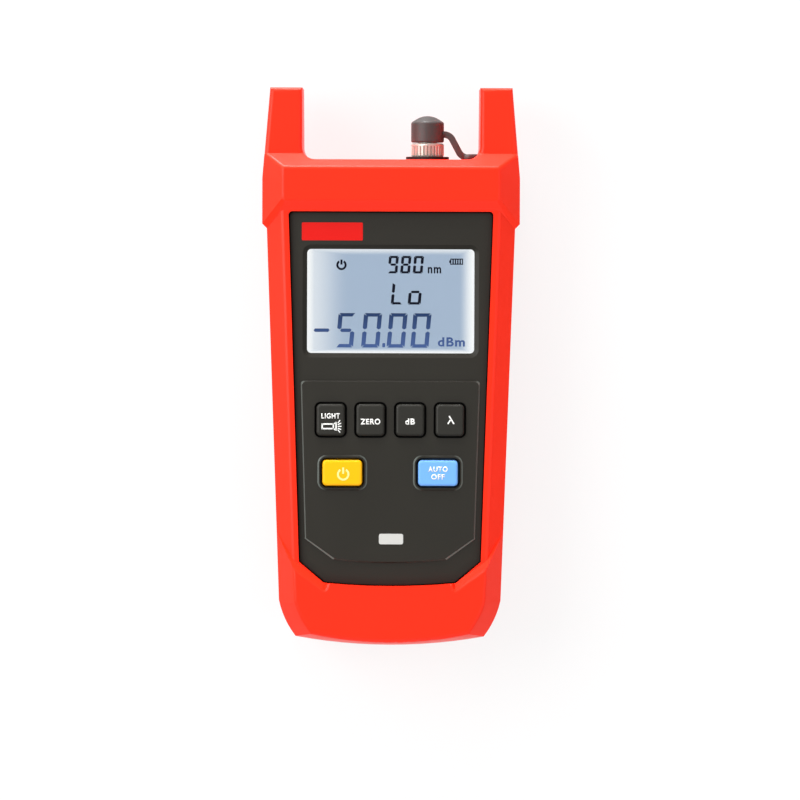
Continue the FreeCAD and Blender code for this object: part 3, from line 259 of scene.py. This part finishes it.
def clear(name, tint, shine):
    """Clear moulded plastic."""
    material, _, shader = new_material(name)
    fill(shader, {
        "Base Color": tint,
        "Roughness": POLISHED,
        "IOR": ACRYLIC_INDEX,
        "Specular IOR Level": shine,
        "Transmission Weight": 1.0,
    })
    return material


def self_lit(name, base, roughness, shine):
    """A material that gives light, with its tree and the input that takes the light's colour."""
    material, tree, shader = new_material(name)
    fill(shader, {
        "Base Color": base,
        "Roughness": roughness,
        "Specular IOR Level": shine,
        "Emission Strength": 1.0,
    })
    return material, tree, shader.inputs["Emission Color"]


def glowing(name, foot, top):
    """A mark on the lit display, with one colour at the display's foot and another from its middle up."""
    low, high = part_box("display_glass")
    middle = (low[1] + high[1]) / 2
    material, tree, light = self_lit(name, BLACK, roughness=0.8, shine=0.0)
    place = axes_of(tree, place_on(tree))
    tree.links.new(mixed(tree, ramp(tree, place["Y"], low[1], middle), foot, top), light)
    return material


def lit_display(name, middle, edge):
    """The display's background: brighter along its border and towards its left side."""
    low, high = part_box("display_glass")
    material, tree, light = self_lit(name, shaded(middle, UNLIT_SHARE), roughness=0.4, shine=0.1)
    place = axes_of(tree, place_on(tree))
    broad = ramp(tree, place["X"], low[0] + BROAD_GLOW, low[0])
    head = ramp(tree, place["Y"], high[1] - HEAD_GLOW, high[1] - GLOW_RIM)
    glow = calculate(tree, "MULTIPLY", broad, FAINT_GLOW)
    for lit in (
        ramp(tree, place["X"], low[0] + SIDE_GLOW, low[0] + GLOW_RIM),
        ramp(tree, place["X"], high[0] - SIDE_GLOW, high[0] - GLOW_RIM),
        ramp(tree, place["Y"], low[1] + FOOT_GLOW, low[1] + GLOW_RIM),
        calculate(tree, "MULTIPLY", head, FAINT_GLOW),
    ):
        glow = calculate(tree, "MAXIMUM", glow, lit)
    tree.links.new(mixed(tree, glow, middle, edge), light)
    return material


# Painted shade darkens the face this far into its gaps
SHADE_REACH = 3 * MM

RED = surface("boot_red", linear(250, 42, 14), roughness=0.38, spread=0.03, grain=0.5 * MM,
              relief=0.01 * MM)
PANEL_GREY = surface("panel_grey", linear(41, 39, 34), roughness=0.5, grain=0.35 * MM,
                     relief=0.01 * MM, painted_shade_reach=SHADE_REACH)
REAR_GREY = surface("rear_grey", linear(46, 44, 41), roughness=0.55, grain=0.5 * MM,
                    relief=0.02 * MM)
KEY_GREY = surface("key_grey", linear(43, 42, 38), roughness=0.45, grain=0.3 * MM,
                   relief=0.008 * MM, painted_shade_reach=SHADE_REACH)
KEY_YELLOW = surface("key_yellow", linear(250, 180, 0), roughness=0.42, spread=0.02,
                     relief=0.006 * MM, painted_shade_reach=SHADE_REACH)
KEY_BLUE = surface("key_blue", linear(112, 170, 240), roughness=0.42, spread=0.02,
                   relief=0.006 * MM, painted_shade_reach=SHADE_REACH)
CAP_GREY = surface("cap_grey", linear(64, 59, 58), roughness=0.5, shine=0.4, grain=0.4 * MM)
SEAL_BLACK = surface("seal_black", linear(28, 27, 27), roughness=0.6)
NICKEL = surface("nickel", linear(184, 177, 168), roughness=0.4, metallic=0.4, shine=0.5,
                 spread=0.05, relief=0.004 * MM)
STEEL = surface("steel", linear(186, 186, 184), roughness=0.32, metallic=1.0, shine=0.5,
                spread=0.05, relief=0.004 * MM)
BOARD_GREEN = surface("board_green", linear(24, 92, 58), roughness=0.4)
CHIP_BLACK = surface("chip_black", linear(30, 30, 32), roughness=0.5)
MAT_GREY = surface("mat_grey", linear(150, 150, 148), roughness=0.6)
CELL_GREY = surface("cell_grey", linear(84, 92, 104), roughness=0.35)
GUIDE_WHITE = surface("guide_white", linear(236, 240, 244), roughness=0.4)
FRAME_PALE = surface("frame_pale", linear(226, 232, 238), roughness=0.5)
PRINT_WHITE = surface("print_white", linear(244, 244, 240), roughness=0.5, spread=0.02)
PRINT_PALE = surface("print_pale", linear(255, 228, 140), roughness=0.5, spread=0.02)
PRINT_RED = surface("print_red", linear(214, 20, 14), roughness=0.4, spread=0.02)
PLATE_WHITE = surface("plate_white", linear(196, 196, 192), roughness=0.5, spread=0.03)
WINDOW_CLEAR = clear("window_clear", WHITE, shine=0.1)
TORCH_CLEAR = clear("torch_clear", (0.95, 0.98, 1.0, 1.0), shine=0.5)
DISPLAY_LIT = lit_display("display_lit", linear(165, 184, 206), linear(252, 255, 255))
MARK_NAVY = glowing("mark_navy", linear(4, 8, 30), linear(4, 8, 30))
MARK_BLUE = glowing("mark_blue", linear(76, 102, 158), linear(34, 56, 96))

# Painted highlight: the panel's sideways-facing bevels are lightened, most of all low on the face.
painted_highlight(PANEL_GREY, linear(112, 120, 115), flattest=0.83, steepest=0.5, full_side=0.5,
        highlight_grows_below=-51 * MM, highlight_full_below=-55 * MM, highlight_least_share=0.6)

NODE_MATERIALS = {
    "rubber_boot": RED,
    "front_shell": PANEL_GREY,
    "rear_shell": REAR_GREY,
    "battery_door": REAR_GREY,
    "case_seal": SEAL_BLACK,
    "door_seal": SEAL_BLACK,
    "port_seal": SEAL_BLACK,
    "display_window": WINDOW_CLEAR,
    "display_frame": FRAME_PALE,
    "display_glass": DISPLAY_LIT,
    "backlight_plate": GUIDE_WHITE,
    "contact_strip": MAT_GREY,
    "light_key": KEY_GREY,
    "zero_key": KEY_GREY,
    "decibel_key": KEY_GREY,
    "wavelength_key": KEY_GREY,
    "power_key": KEY_YELLOW,
    "auto_off_key": KEY_BLUE,
    "keypad_mat": MAT_GREY,
    "main_board": BOARD_GREEN,
    "detector_board": BOARD_GREEN,
    "board_chips": CHIP_BLACK,
    "case_screws": STEEL,
    "board_screws": STEEL,
    "door_screws": STEEL,
    "battery_cell_left": CELL_GREY,
    "battery_cell_middle": CELL_GREY,
    "battery_cell_right": CELL_GREY,
    "nub_contacts": NICKEL,
    "spring_contacts": NICKEL,
    "detector_housing": NICKEL,
    "photodiode": NICKEL,
    "port_adapter": NICKEL,
    "dust_cap": CAP_GREY,
    "cap_strap": CAP_GREY,
    "strap_rivet": STEEL,
    "torch_lens": TORCH_CLEAR,
    "torch_led": TORCH_CLEAR,
}


def paint(piece, material):
    piece.data.materials.clear()
    piece.data.materials.append(material)


def round_edges(piece, width, segments, sharper_than):
    """Moulded edges: flat facets are joined, then every edge sharper than an angle is rounded."""
    weld = piece.modifiers.new("weld", "WELD")
    weld.merge_threshold = SAME_CORNER
    join = piece.modifiers.new("join", "DECIMATE")
    join.decimate_type = "DISSOLVE"
    join.angle_limit = SAME_FACE
    bevel = piece.modifiers.new("round", "BEVEL")
    bevel.width = width
    bevel.segments = segments
    bevel.limit_method = "ANGLE"
    bevel.angle_limit = math.radians(sharper_than)
    bevel.harden_normals = True
    even = piece.modifiers.new("even", "WEIGHTED_NORMAL")
    even.keep_sharp = True


for node, material in NODE_MATERIALS.items():
    paint(NODES[node], material)

round_edges(NODES["rubber_boot"], width=0.7 * MM, segments=3, sharper_than=28)
round_edges(NODES["dust_cap"], width=0.45 * MM, segments=3, sharper_than=25)


# Meshes and places

def mesh_of(node):
    """A node's mesh where the node stands, to be edited."""
    mesh = bmesh.new()
    mesh.from_mesh(NODES[node].data)
    mesh.transform(NODES[node].matrix_world)
    bmesh.ops.remove_doubles(mesh, verts=mesh.verts, dist=SAME_CORNER)
    return mesh


def piece_from(mesh, name, material):
    """A painted piece made from an edited mesh, which is then given up."""
    data = bpy.data.meshes.new(name)
    mesh.to_mesh(data)
    mesh.free()
    piece = bpy.data.objects.new(name, data)
    bpy.context.collection.objects.link(piece)
    paint(piece, material)
    return piece


def top_middle(node):
    """The middle of a node's front."""
    low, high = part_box(node)
    return Vector(((low[0] + high[0]) / 2, (low[1] + high[1]) / 2, high[2]))


def moved(point, x, y):
    return point + Vector((x, y, 0))


# The strap bends as the cap is pulled, so it is cut into short lengths between the tab and the cap
STRAP_LENGTHS = 40
STRAP_ROUNDING = 0.35 * MM
STRAP_ROUNDING_STEPS = 3
ROUND_PROFILE = 0.5
STRAP_RIM_ANGLE = math.radians(60)


def make_strap():
    mesh = mesh_of("cap_strap")
    bmesh.ops.dissolve_limit(mesh, angle_limit=SAME_FACE, verts=mesh.verts, edges=mesh.edges)
    low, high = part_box("cap_strap")
    cap_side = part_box("dust_cap")[1][0]
    rivet_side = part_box("strap_rivet")[0][0]
    tab_side = rivet_side - (high[0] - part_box("strap_rivet")[1][0])
    rims = []
    for edge in mesh.edges:
        on_band = all(cap_side < end.co.x < tab_side for end in edge.verts)
        if on_band and edge.is_manifold and edge.calc_face_angle() > STRAP_RIM_ANGLE:
            rims.append(edge)
    bmesh.ops.bevel(mesh, geom=rims, offset=STRAP_ROUNDING, segments=STRAP_ROUNDING_STEPS,
                    profile=ROUND_PROFILE, affect="EDGES", clamp_overlap=True)
    for k in range(1, STRAP_LENGTHS):
        across = low[0] + (high[0] - low[0]) * k / STRAP_LENGTHS
        parts = mesh.verts[:] + mesh.edges[:] + mesh.faces[:]
        bmesh.ops.bisect_plane(mesh, geom=parts, plane_co=(across, 0, 0), plane_no=(1, 0, 0))
    for face in mesh.faces:
        face.smooth = True
    piece = piece_from(mesh, "strap_band", CAP_GREY)
    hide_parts("cap_strap")
    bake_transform(piece)


make_strap()


# The domes of the keypad mat give way under the keys, so the mat is parted into its sheet and its domes
MAT_THICK = 0.9 * MM
DOME_REACH = 5.0 * MM
KEYS = ("light_key", "zero_key", "decibel_key", "wavelength_key", "power_key", "auto_off_key")


def on_dome(point, centre):
    return (point.xy - centre.xy).length < DOME_REACH


def mat_part(name, wanted, centres):
    """The faces of the mat that are wanted, closed again along the cut round each centre."""
    mesh = mesh_of("keypad_mat")
    unwanted = [face for face in mesh.faces if not wanted(face.calc_center_median())]
    bmesh.ops.delete(mesh, geom=unwanted, context="FACES")
    for centre in centres:
        cut = [edge for edge in mesh.edges if edge.is_boundary and on_dome(edge.verts[0].co, centre)]
        bmesh.ops.bridge_loops(mesh, edges=cut)
    bmesh.ops.recalc_face_normals(mesh, faces=mesh.faces)
    piece = piece_from(mesh, name, MAT_GREY)
    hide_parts("keypad_mat")
    return piece


def make_mat():
    low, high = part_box("keypad_mat")
    sheet_front = low[2] + MAT_THICK
    centres = {}
    for key in KEYS:
        front = top_middle(key)
        centres[key] = Vector((front.x, front.y, sheet_front))

    def above_sheet(point):
        return point.z > sheet_front + SAME_CORNER

    sheet = mat_part("keypad_sheet", lambda point: not above_sheet(point), centres.values())
    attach(sheet, "meter")
    for key, centre in centres.items():
        def wanted(point):
            return above_sheet(point) and on_dome(point, centre)

        dome = mat_part(f"{key}_dome", wanted, [centre])
        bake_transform(dome)


make_mat()


# Prints and marks: flat shapes, in metres from a centre, raised a hair above what carries them
WORD_WEIGHT = 0.03
WORD_SPACING = 1.15


def thicken(mesh, faces):
    """Makes flat faces as thick as a print."""
    raised = bmesh.ops.extrude_face_region(mesh, geom=faces)
    lifted = [item for item in raised["geom"] if isinstance(item, bmesh.types.BMVert)]
    bmesh.ops.translate(mesh, verts=lifted, vec=(0, 0, PRINT_SINK + PRINT_RISE))


def print_from(mesh, name, material, body):
    bmesh.ops.recalc_face_normals(mesh, faces=mesh.faces)
    piece = piece_from(mesh, name, material)
    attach(piece, body)


def slab(name, shapes, centre, material, body):
    """One piece made of flat shapes, each a list of corners."""
    mesh = bmesh.new()
    for corners in shapes:
        ring = [mesh.verts.new((centre.x + x, centre.y + y, centre.z - PRINT_SINK)) for x, y in corners]
        thicken(mesh, [mesh.faces.new(ring)])
    print_from(mesh, name, material, body)


def lettering(name, text, centre, width, height, material, body):
    """A word, fitted to a box about the centre."""
    curve = bpy.data.curves.new(name, "FONT")
    curve.body = text
    curve.offset = WORD_WEIGHT
    curve.space_character = WORD_SPACING
    maker = bpy.data.objects.new(name, curve)
    bpy.context.collection.objects.link(maker)
    bpy.context.view_layer.update()
    outline = bpy.data.meshes.new_from_object(maker.evaluated_get(bpy.context.evaluated_depsgraph_get()))
    bpy.data.objects.remove(maker)
    mesh = bmesh.new()
    mesh.from_mesh(outline)
    bpy.data.meshes.remove(outline)
    across = [vertex.co.x for vertex in mesh.verts]
    upward = [vertex.co.y for vertex in mesh.verts]
    middle = Vector(((min(across) + max(across)) / 2, (min(upward) + max(upward)) / 2, 0))
    scale = Matrix.Diagonal((width / (max(across) - min(across)), height / (max(upward) - min(upward)), 1, 1))
    mesh.transform(Matrix.Translation(centre) @ scale @ Matrix.Translation(-middle))
    bmesh.ops.remove_doubles(mesh, verts=mesh.verts, dist=SAME_CORNER)
    bmesh.ops.translate(mesh, verts=mesh.verts, vec=(0, 0, -PRINT_SINK))
    thicken(mesh, mesh.faces[:])
    print_from(mesh, name, material, body)


def rounded_field(width, height, radius, centre=(0, 0), steps=6):
    """A rectangle with round corners."""
    corners = []
    for quarter in range(4):
        across = 1 if quarter in (0, 3) else -1
        upward = 1 if quarter in (0, 1) else -1
        for step in range(steps + 1):
            angle = math.pi / 2 * (quarter + step / steps)
            corners.append((centre[0] + across * (width / 2 - radius) + radius * math.cos(angle),
                            centre[1] + upward * (height / 2 - radius) + radius * math.sin(angle)))
    return corners


def bar(start, end, width):
    """A straight stroke."""
    first, last = Vector(start), Vector(end)
    along = (last - first).normalized()
    side = Vector((-along.y, along.x)) * width / 2
    return [tuple(first - side), tuple(last - side), tuple(last + side), tuple(first + side)]


def arc_band(centre, radius, width, first, last, steps=28):
    """A stroke along part of a circle, between two angles in degrees."""
    x, y = centre
    inner, outer = [], []
    for step in range(steps + 1):
        angle = math.radians(first + (last - first) * step / steps)
        across, upward = math.cos(angle), math.sin(angle)
        outer.append((x + (radius + width / 2) * across, y + (radius + width / 2) * upward))
        inner.append((x + (radius - width / 2) * across, y + (radius - width / 2) * upward))
    return outer + inner[::-1]


def power_mark(centre, radius, width):
    """A ring, open at its top by a gap on either side of a stroke."""
    gap = 32
    stroke_foot, stroke_head = 0.1 * radius, 1.3 * radius
    x, y = centre
    return [
        arc_band(centre, radius, width, 90 + gap, 450 - gap),
        bar((x, y + stroke_foot), (x, y + stroke_head), width),
    ]


# Seven-segment characters: which segments are lit, their slant, and shares of the stroke's width
SEGMENTS = {
    "0": "abcdef",
    "5": "acdfg",
    "8": "abcdefg",
    "9": "abcdfg",
    "L": "def",
    "o": "cdeg",
    "-": "g",
}
SEGMENT_SLANT = math.tan(math.radians(5))
SEGMENT_CUT_SHARE = 0.2
RUNG_SHARE = 0.8


def seven_segment(character, left, low, width, height, stroke):
    """A slanted character of separate bars in the given box, whose width is at the foot."""
    middle = height / 2
    half = stroke / 2
    cut = stroke * SEGMENT_CUT_SHARE
    inner = stroke - cut
    rung = stroke * RUNG_SHARE
    upright = [(0, height - cut), (stroke, height - inner), (stroke, middle + half),
               (half, middle + cut), (0, middle + half)]
    bars = {
        "a": [(cut, height), (width - cut, height), (width - inner, height - rung), (inner, height - rung)],
        "b": [(width - x, y) for x, y in upright[::-1]],
        "c": [(width - x, height - y) for x, y in upright],
        "d": [(inner, rung), (width - inner, rung), (width - cut, 0), (cut, 0)],
        "e": [(x, height - y) for x, y in upright[::-1]],
        "f": upright,
        "g": [(cut + half, middle), (stroke, middle + rung / 2), (width - stroke, middle + rung / 2),
              (width - half - cut, middle), (width - stroke, middle - rung / 2), (stroke, middle - rung / 2)],
    }
    lit = [bars[segment] for segment in SEGMENTS[character]]
    return [[(left + x + y * SEGMENT_SLANT, low + y) for x, y in corners] for corners in lit]


def battery_mark(centre, width, height):
    """A cell's outline with its charge bars."""
    line = 0.32 * MM
    charge_line = 1.3 * line
    bars = 4
    x, y = centre
    left, right = x - width / 2, x + width / 2
    low, high = y - height / 2, y + height / 2
    shapes = [
        bar((left, low), (right, low), line),
        bar((left, high), (right, high), line),
        bar((right, low - line / 2), (right, high + line / 2), line),
        bar((left, low - line / 2), (left, high + line / 2), line),
        bar((left - line, y - height / 4), (left - line, y + height / 4), line),
    ]
    for k in range(bars):
        place = left + width * (k + 1) / (bars + 1)
        shapes.append(bar((place, low), (place, high), charge_line))
    return shapes


# Display: the marks' places are measured from the middle of its glass
DISPLAY = top_middle("display_glass")


def small_marks():
    """The upper two rows: the wavelength, the state and the signs."""
    shapes = []
    first, pitch = -1.05 * MM, 3.95 * MM
    for k, digit in enumerate("980"):
        shapes += seven_segment(digit, left=first + pitch * k, low=8.7 * MM, width=3.1 * MM,
                                height=5.5 * MM, stroke=0.88 * MM)
    state_low = -1.05 * MM
    shapes += seven_segment("L", left=0.0, low=state_low, width=3.6 * MM, height=6.9 * MM, stroke=0.92 * MM)
    shapes += seven_segment("o", left=5.3 * MM, low=state_low, width=4.1 * MM, height=7.9 * MM,
                            stroke=0.95 * MM)
    shapes += power_mark((-15.5 * MM, 11.3 * MM), radius=1.3 * MM, width=0.66 * MM)
    shapes += battery_mark((20.65 * MM, 12.45 * MM), width=3.7 * MM, height=1.6 * MM)
    return shapes


def large_marks():
    """The reading: a minus sign, four digits and a point."""
    low, height, stroke = -14.6 * MM, 10.8 * MM, 1.36 * MM
    narrow, wide = 5.5 * MM, 5.7 * MM
    shapes = []
    for digit, left, width in (("5", -17.3 * MM, narrow), ("0", -9.3 * MM, wide), ("0", -1.3 * MM, wide),
                               ("0", 6.2 * MM, wide)):
        shapes += seven_segment(digit, left, low, width, height, stroke)
    shapes += seven_segment("-", -25.6 * MM, low, 6.9 * MM, height, stroke)
    shapes.append(rounded_field(width=0.9 * MM, height=1.3 * MM, radius=0.2 * MM,
                                centre=(-2.15 * MM, -13.85 * MM)))
    return shapes


slab("display_small_marks", small_marks(), DISPLAY, MARK_NAVY, "meter")
lettering("display_unit_small", "nm", moved(DISPLAY, 13.7 * MM, 9.75 * MM), width=4.2 * MM, height=2.0 * MM,
          material=MARK_NAVY, body="meter")
slab("display_large_marks", large_marks(), DISPLAY, MARK_BLUE, "meter")
lettering("display_unit_large", "dBm", moved(DISPLAY, 19.1 * MM, -12.75 * MM), width=8.5 * MM,
          height=2.9 * MM, material=MARK_BLUE, body="meter")


# Keys: the marks' places are measured from the middle of each key's front
MARK_LINE = 0.42 * MM


def torch_mark():
    """A hand torch lying on its side, with rays."""
    tail, neck, rim = -2.75 * MM, 0.75 * MM, 1.6 * MM
    slim, wide = 0.72 * MM, 1.15 * MM
    ray_line, ray_length, ray_turn = 0.3 * MM, 1.15 * MM, math.radians(26)
    ray_start, ray_pitch, rays_a_side = rim + 0.55 * MM, 0.52 * MM, 2
    shapes = []
    for side in (1, -1):
        shapes.append(bar((tail, side * slim), (neck, side * slim), MARK_LINE))
        shapes.append(bar((neck, side * slim), (rim, side * wide), MARK_LINE))
    for place, half in ((tail, slim), (neck, slim), (rim, wide)):
        shapes.append(bar((place, -half - MARK_LINE / 2), (place, half + MARK_LINE / 2), MARK_LINE))
    for k in range(-rays_a_side, rays_a_side + 1):
        start = Vector((ray_start, ray_pitch * k))
        reach = Vector((math.cos(ray_turn * k), math.sin(ray_turn * k))) * ray_length
        shapes.append(bar(start, start + reach, ray_line))
    return shapes


def wavelength_mark():
    """The letter lambda: a long stroke and a short leg."""
    half_height = 1.25 * MM
    return [
        bar((-0.55 * MM, half_height), (0.95 * MM, -half_height), MARK_LINE),
        bar((-0.95 * MM, -half_height), (0.0, 0.25 * MM), MARK_LINE),
    ]


def key_word(name, text, key, rise, width, height):
    centre = moved(top_middle(key), 0, rise)
    lettering(name, text, centre, width, height, PRINT_WHITE, f"{key}_body")


def key_mark(name, shapes, key, x, y, material):
    slab(name, shapes, moved(top_middle(key), x, y), material, f"{key}_body")


key_word("light_word", "LIGHT", "light_key", rise=1.25 * MM, width=5.8 * MM, height=1.7 * MM)
key_mark("light_torch", torch_mark(), "light_key", x=0.1 * MM, y=-2.0 * MM, material=PRINT_WHITE)
key_word("zero_word", "ZERO", "zero_key", rise=-0.5 * MM, width=6.2 * MM, height=1.8 * MM)
key_word("decibel_word", "dB", "decibel_key", rise=-0.45 * MM, width=3.05 * MM, height=1.9 * MM)
key_mark("wavelength_mark", wavelength_mark(), "wavelength_key", x=0.3 * MM, y=0.1 * MM,
         material=PRINT_WHITE)
key_mark("power_mark", power_mark((0, 0), radius=1.65 * MM, width=0.62 * MM), "power_key", x=0.3 * MM,
         y=-0.45 * MM, material=PRINT_PALE)
key_word("auto_word", "AUTO", "auto_off_key", rise=1.25 * MM, width=6.1 * MM, height=1.7 * MM)
key_word("off_word", "OFF", "auto_off_key", rise=-1.15 * MM, width=4.2 * MM, height=1.7 * MM)


# Panel prints: plain fields of colour
def on_face(x, y):
    """The point of the front shell's face at a place."""
    shell = NODES["front_shell"]
    into = shell.matrix_world.inverted()
    above = into @ Vector((x, y, CAD_BOX[1][2]))
    place = shell.ray_cast(above, into.to_3x3() @ Vector((0, 0, -1)))[1]
    return shell.matrix_world @ place


red_field = rounded_field(width=19.1 * MM, height=5.6 * MM, radius=0.35 * MM)
white_plate = rounded_field(width=7.6 * MM, height=3.3 * MM, radius=0.6 * MM)
slab("panel_field", [red_field], on_face(-18.35 * MM, 42.4 * MM), PRINT_RED, "meter")
slab("island_plate", [white_plate], on_face(0.35 * MM, -54.0 * MM), PLATE_WHITE, "meter")


# Battery door screws: painted shade, a flat black cross on each head where its cross recess lies
RECESS_REACH = 1.1 * MM
RECESS_LINE = 0.42 * MM


def paint_recess_shade():
    low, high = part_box("door_screws")
    inset = (high[1] - low[1]) / 2
    crosses = []
    for x in (low[0] + inset, high[0] - inset):
        crosses.append(bar((x - RECESS_REACH, 0), (x + RECESS_REACH, 0), RECESS_LINE))
        crosses.append(bar((x, -RECESS_REACH), (x, RECESS_REACH), RECESS_LINE))
    head = Vector((0, (low[1] + high[1]) / 2, low[2] + PRINT_SINK - PRINT_RISE))
    # Painted shade: the thin black cross stands in for the shade inside each recess.
    slab("door_screw_recess_shade", crosses, head, SEAL_BLACK, "meter")


paint_recess_shade()


# Stage, light and camera

# Floor: seen by the camera or in a reflection, it is mostly lit by itself, so that only shadows show
FLOOR_REACH = 3.0
FLOOR_DROP = 0.1 * MM
FLOOR_PALE = (0.86, 0.86, 0.86, 1.0)
FLOOR_ROUGHNESS = 0.9
FLOOR_GLOW = 0.8

# World: the light from all around, and the studio that reflections show, from its dark to its bright side
AMBIENT = 0.45
BRIGHT_SIDE = Vector((-0.45, 0.88, 0.1))
DARK_UP_TO = 0.1
BRIGHT_FROM = 0.9
DARK_STRENGTH = 0.12
BRIGHT_STRENGTH = 1.5

# Lamps: where each one stands, the length of its side, its watts, and whether reflections show it
LAMPS = {
    "key_lamp": ((-0.85, 0.3, 0.9), 0.9, 12.8, True),
    "port_end_lamp": ((-0.2, 1.3, 0.03), 0.2, 24.0, True),
    "port_end_soft_lamp": ((-0.2, 1.3, 0.25), 0.7, 20.0, False),
    "fill_lamp": ((0.75, -0.1, 1.0), 0.9, 4.0, False),
    "foot_lamp": ((0.1, -1.0, 0.7), 0.9, 3.5, False),
}


def mixed_shaders(tree, share, first, second):
    """Two shaders mixed by the share of the second, a socket or a number."""
    mix = tree.nodes.new("ShaderNodeMixShader")
    feed(tree, mix.inputs["Fac"], share)
    tree.links.new(first, mix.inputs[1])
    tree.links.new(second, mix.inputs[2])
    return mix.outputs["Shader"]


def by_ray(tree, kinds, plain, special):
    """The special shader for rays of the given kinds, the plain one for the rest."""
    path = tree.nodes.new("ShaderNodeLightPath")
    chosen = path.outputs[kinds[0]]
    for kind in kinds[1:]:
        chosen = calculate(tree, "MAXIMUM", chosen, path.outputs[kind])
    return mixed_shaders(tree, chosen, plain, special)


def make_floor():
    reach = FLOOR_REACH
    corners = [(-reach, -reach, 0), (reach, -reach, 0), (reach, reach, 0), (-reach, reach, 0)]
    data = bpy.data.meshes.new("floor")
    data.from_pydata(corners, [], [(0, 1, 2, 3)])
    floor = bpy.data.objects.new("floor", data)
    floor.location.z = -FLOOR_DROP
    bpy.context.collection.objects.link(floor)
    material, tree, shader = new_material("floor_white")
    fill(shader, {"Base Color": FLOOR_PALE, "Roughness": FLOOR_ROUGHNESS})
    plain = shader.outputs["BSDF"]
    glow = tree.nodes.new("ShaderNodeEmission").outputs["Emission"]
    pale = mixed_shaders(tree, FLOOR_GLOW, plain, glow)
    shown = by_ray(tree, ["Is Camera Ray", "Is Glossy Ray"], plain, pale)
    tree.links.new(shown, tree.nodes["Material Output"].inputs["Surface"])
    paint(floor, material)


def make_world():
    world = bpy.data.worlds.new("studio")
    bpy.context.scene.world = world
    world.use_nodes = True
    tree = world.node_tree
    ambient = tree.nodes["Background"]
    fill(ambient, {"Color": WHITE, "Strength": AMBIENT})
    white = tree.nodes.new("ShaderNodeBackground")
    fill(white, {"Color": WHITE})
    facing = tree.nodes.new("ShaderNodeVectorMath")
    facing.operation = "DOT_PRODUCT"
    facing.inputs[1].default_value = BRIGHT_SIDE
    tree.links.new(tree.nodes.new("ShaderNodeTexCoord").outputs["Generated"], facing.inputs[0])
    sheen = tree.nodes.new("ShaderNodeMapRange")
    fill(sheen, {
        "From Min": DARK_UP_TO,
        "From Max": BRIGHT_FROM,
        "To Min": DARK_STRENGTH,
        "To Max": BRIGHT_STRENGTH,
    })
    tree.links.new(facing.outputs["Value"], sheen.inputs["Value"])
    studio = tree.nodes.new("ShaderNodeBackground")
    fill(studio, {"Color": WHITE})
    tree.links.new(sheen.outputs["Result"], studio.inputs["Strength"])
    mirrored = by_ray(tree, ["Is Glossy Ray", "Is Transmission Ray"], ambient.outputs["Background"],
                      studio.outputs["Background"])
    shown = by_ray(tree, ["Is Camera Ray"], mirrored, white.outputs["Background"])
    tree.links.new(shown, tree.nodes["World Output"].inputs["Surface"])


def add_lamp(name, place, side, power, mirrored):
    """A soft square lamp that points at the meter, with or without a reflection of its own."""
    data = bpy.data.lights.new(name, "AREA")
    data.shape = "SQUARE"
    data.size = side
    data.energy = power
    lamp = bpy.data.objects.new(name, data)
    lamp.location = place
    towards = PHOTO_CENTRE - Vector(place)
    lamp.rotation_euler = towards.to_track_quat("-Z", "Y").to_euler()
    lamp.visible_glossy = mirrored
    lamp.visible_transmission = mirrored
    bpy.context.collection.objects.link(lamp)


def make_camera():
    data = bpy.data.cameras.new("camera")
    data.sensor_width = SENSOR
    data.lens = SENSOR * CAMERA_DISTANCE / (PHOTO_SIDE * PHOTO_SCALE)
    camera = bpy.data.objects.new("camera", data)
    turn = Matrix.Rotation(CAMERA_ROLL, 4, "Z") @ Matrix.Rotation(-CAMERA_RISE, 4, "X")
    away = Matrix.Translation((0, 0, CAMERA_DISTANCE))
    camera.matrix_world = Matrix.Translation(PHOTO_CENTRE) @ turn @ away
    bpy.context.collection.objects.link(camera)
    bpy.context.scene.camera = camera


make_floor()
make_world()
for name, (place, side, power, mirrored) in LAMPS.items():
    add_lamp(name, place, side, power, mirrored)
make_camera()
bpy.context.scene.view_settings.view_transform = "Standard"
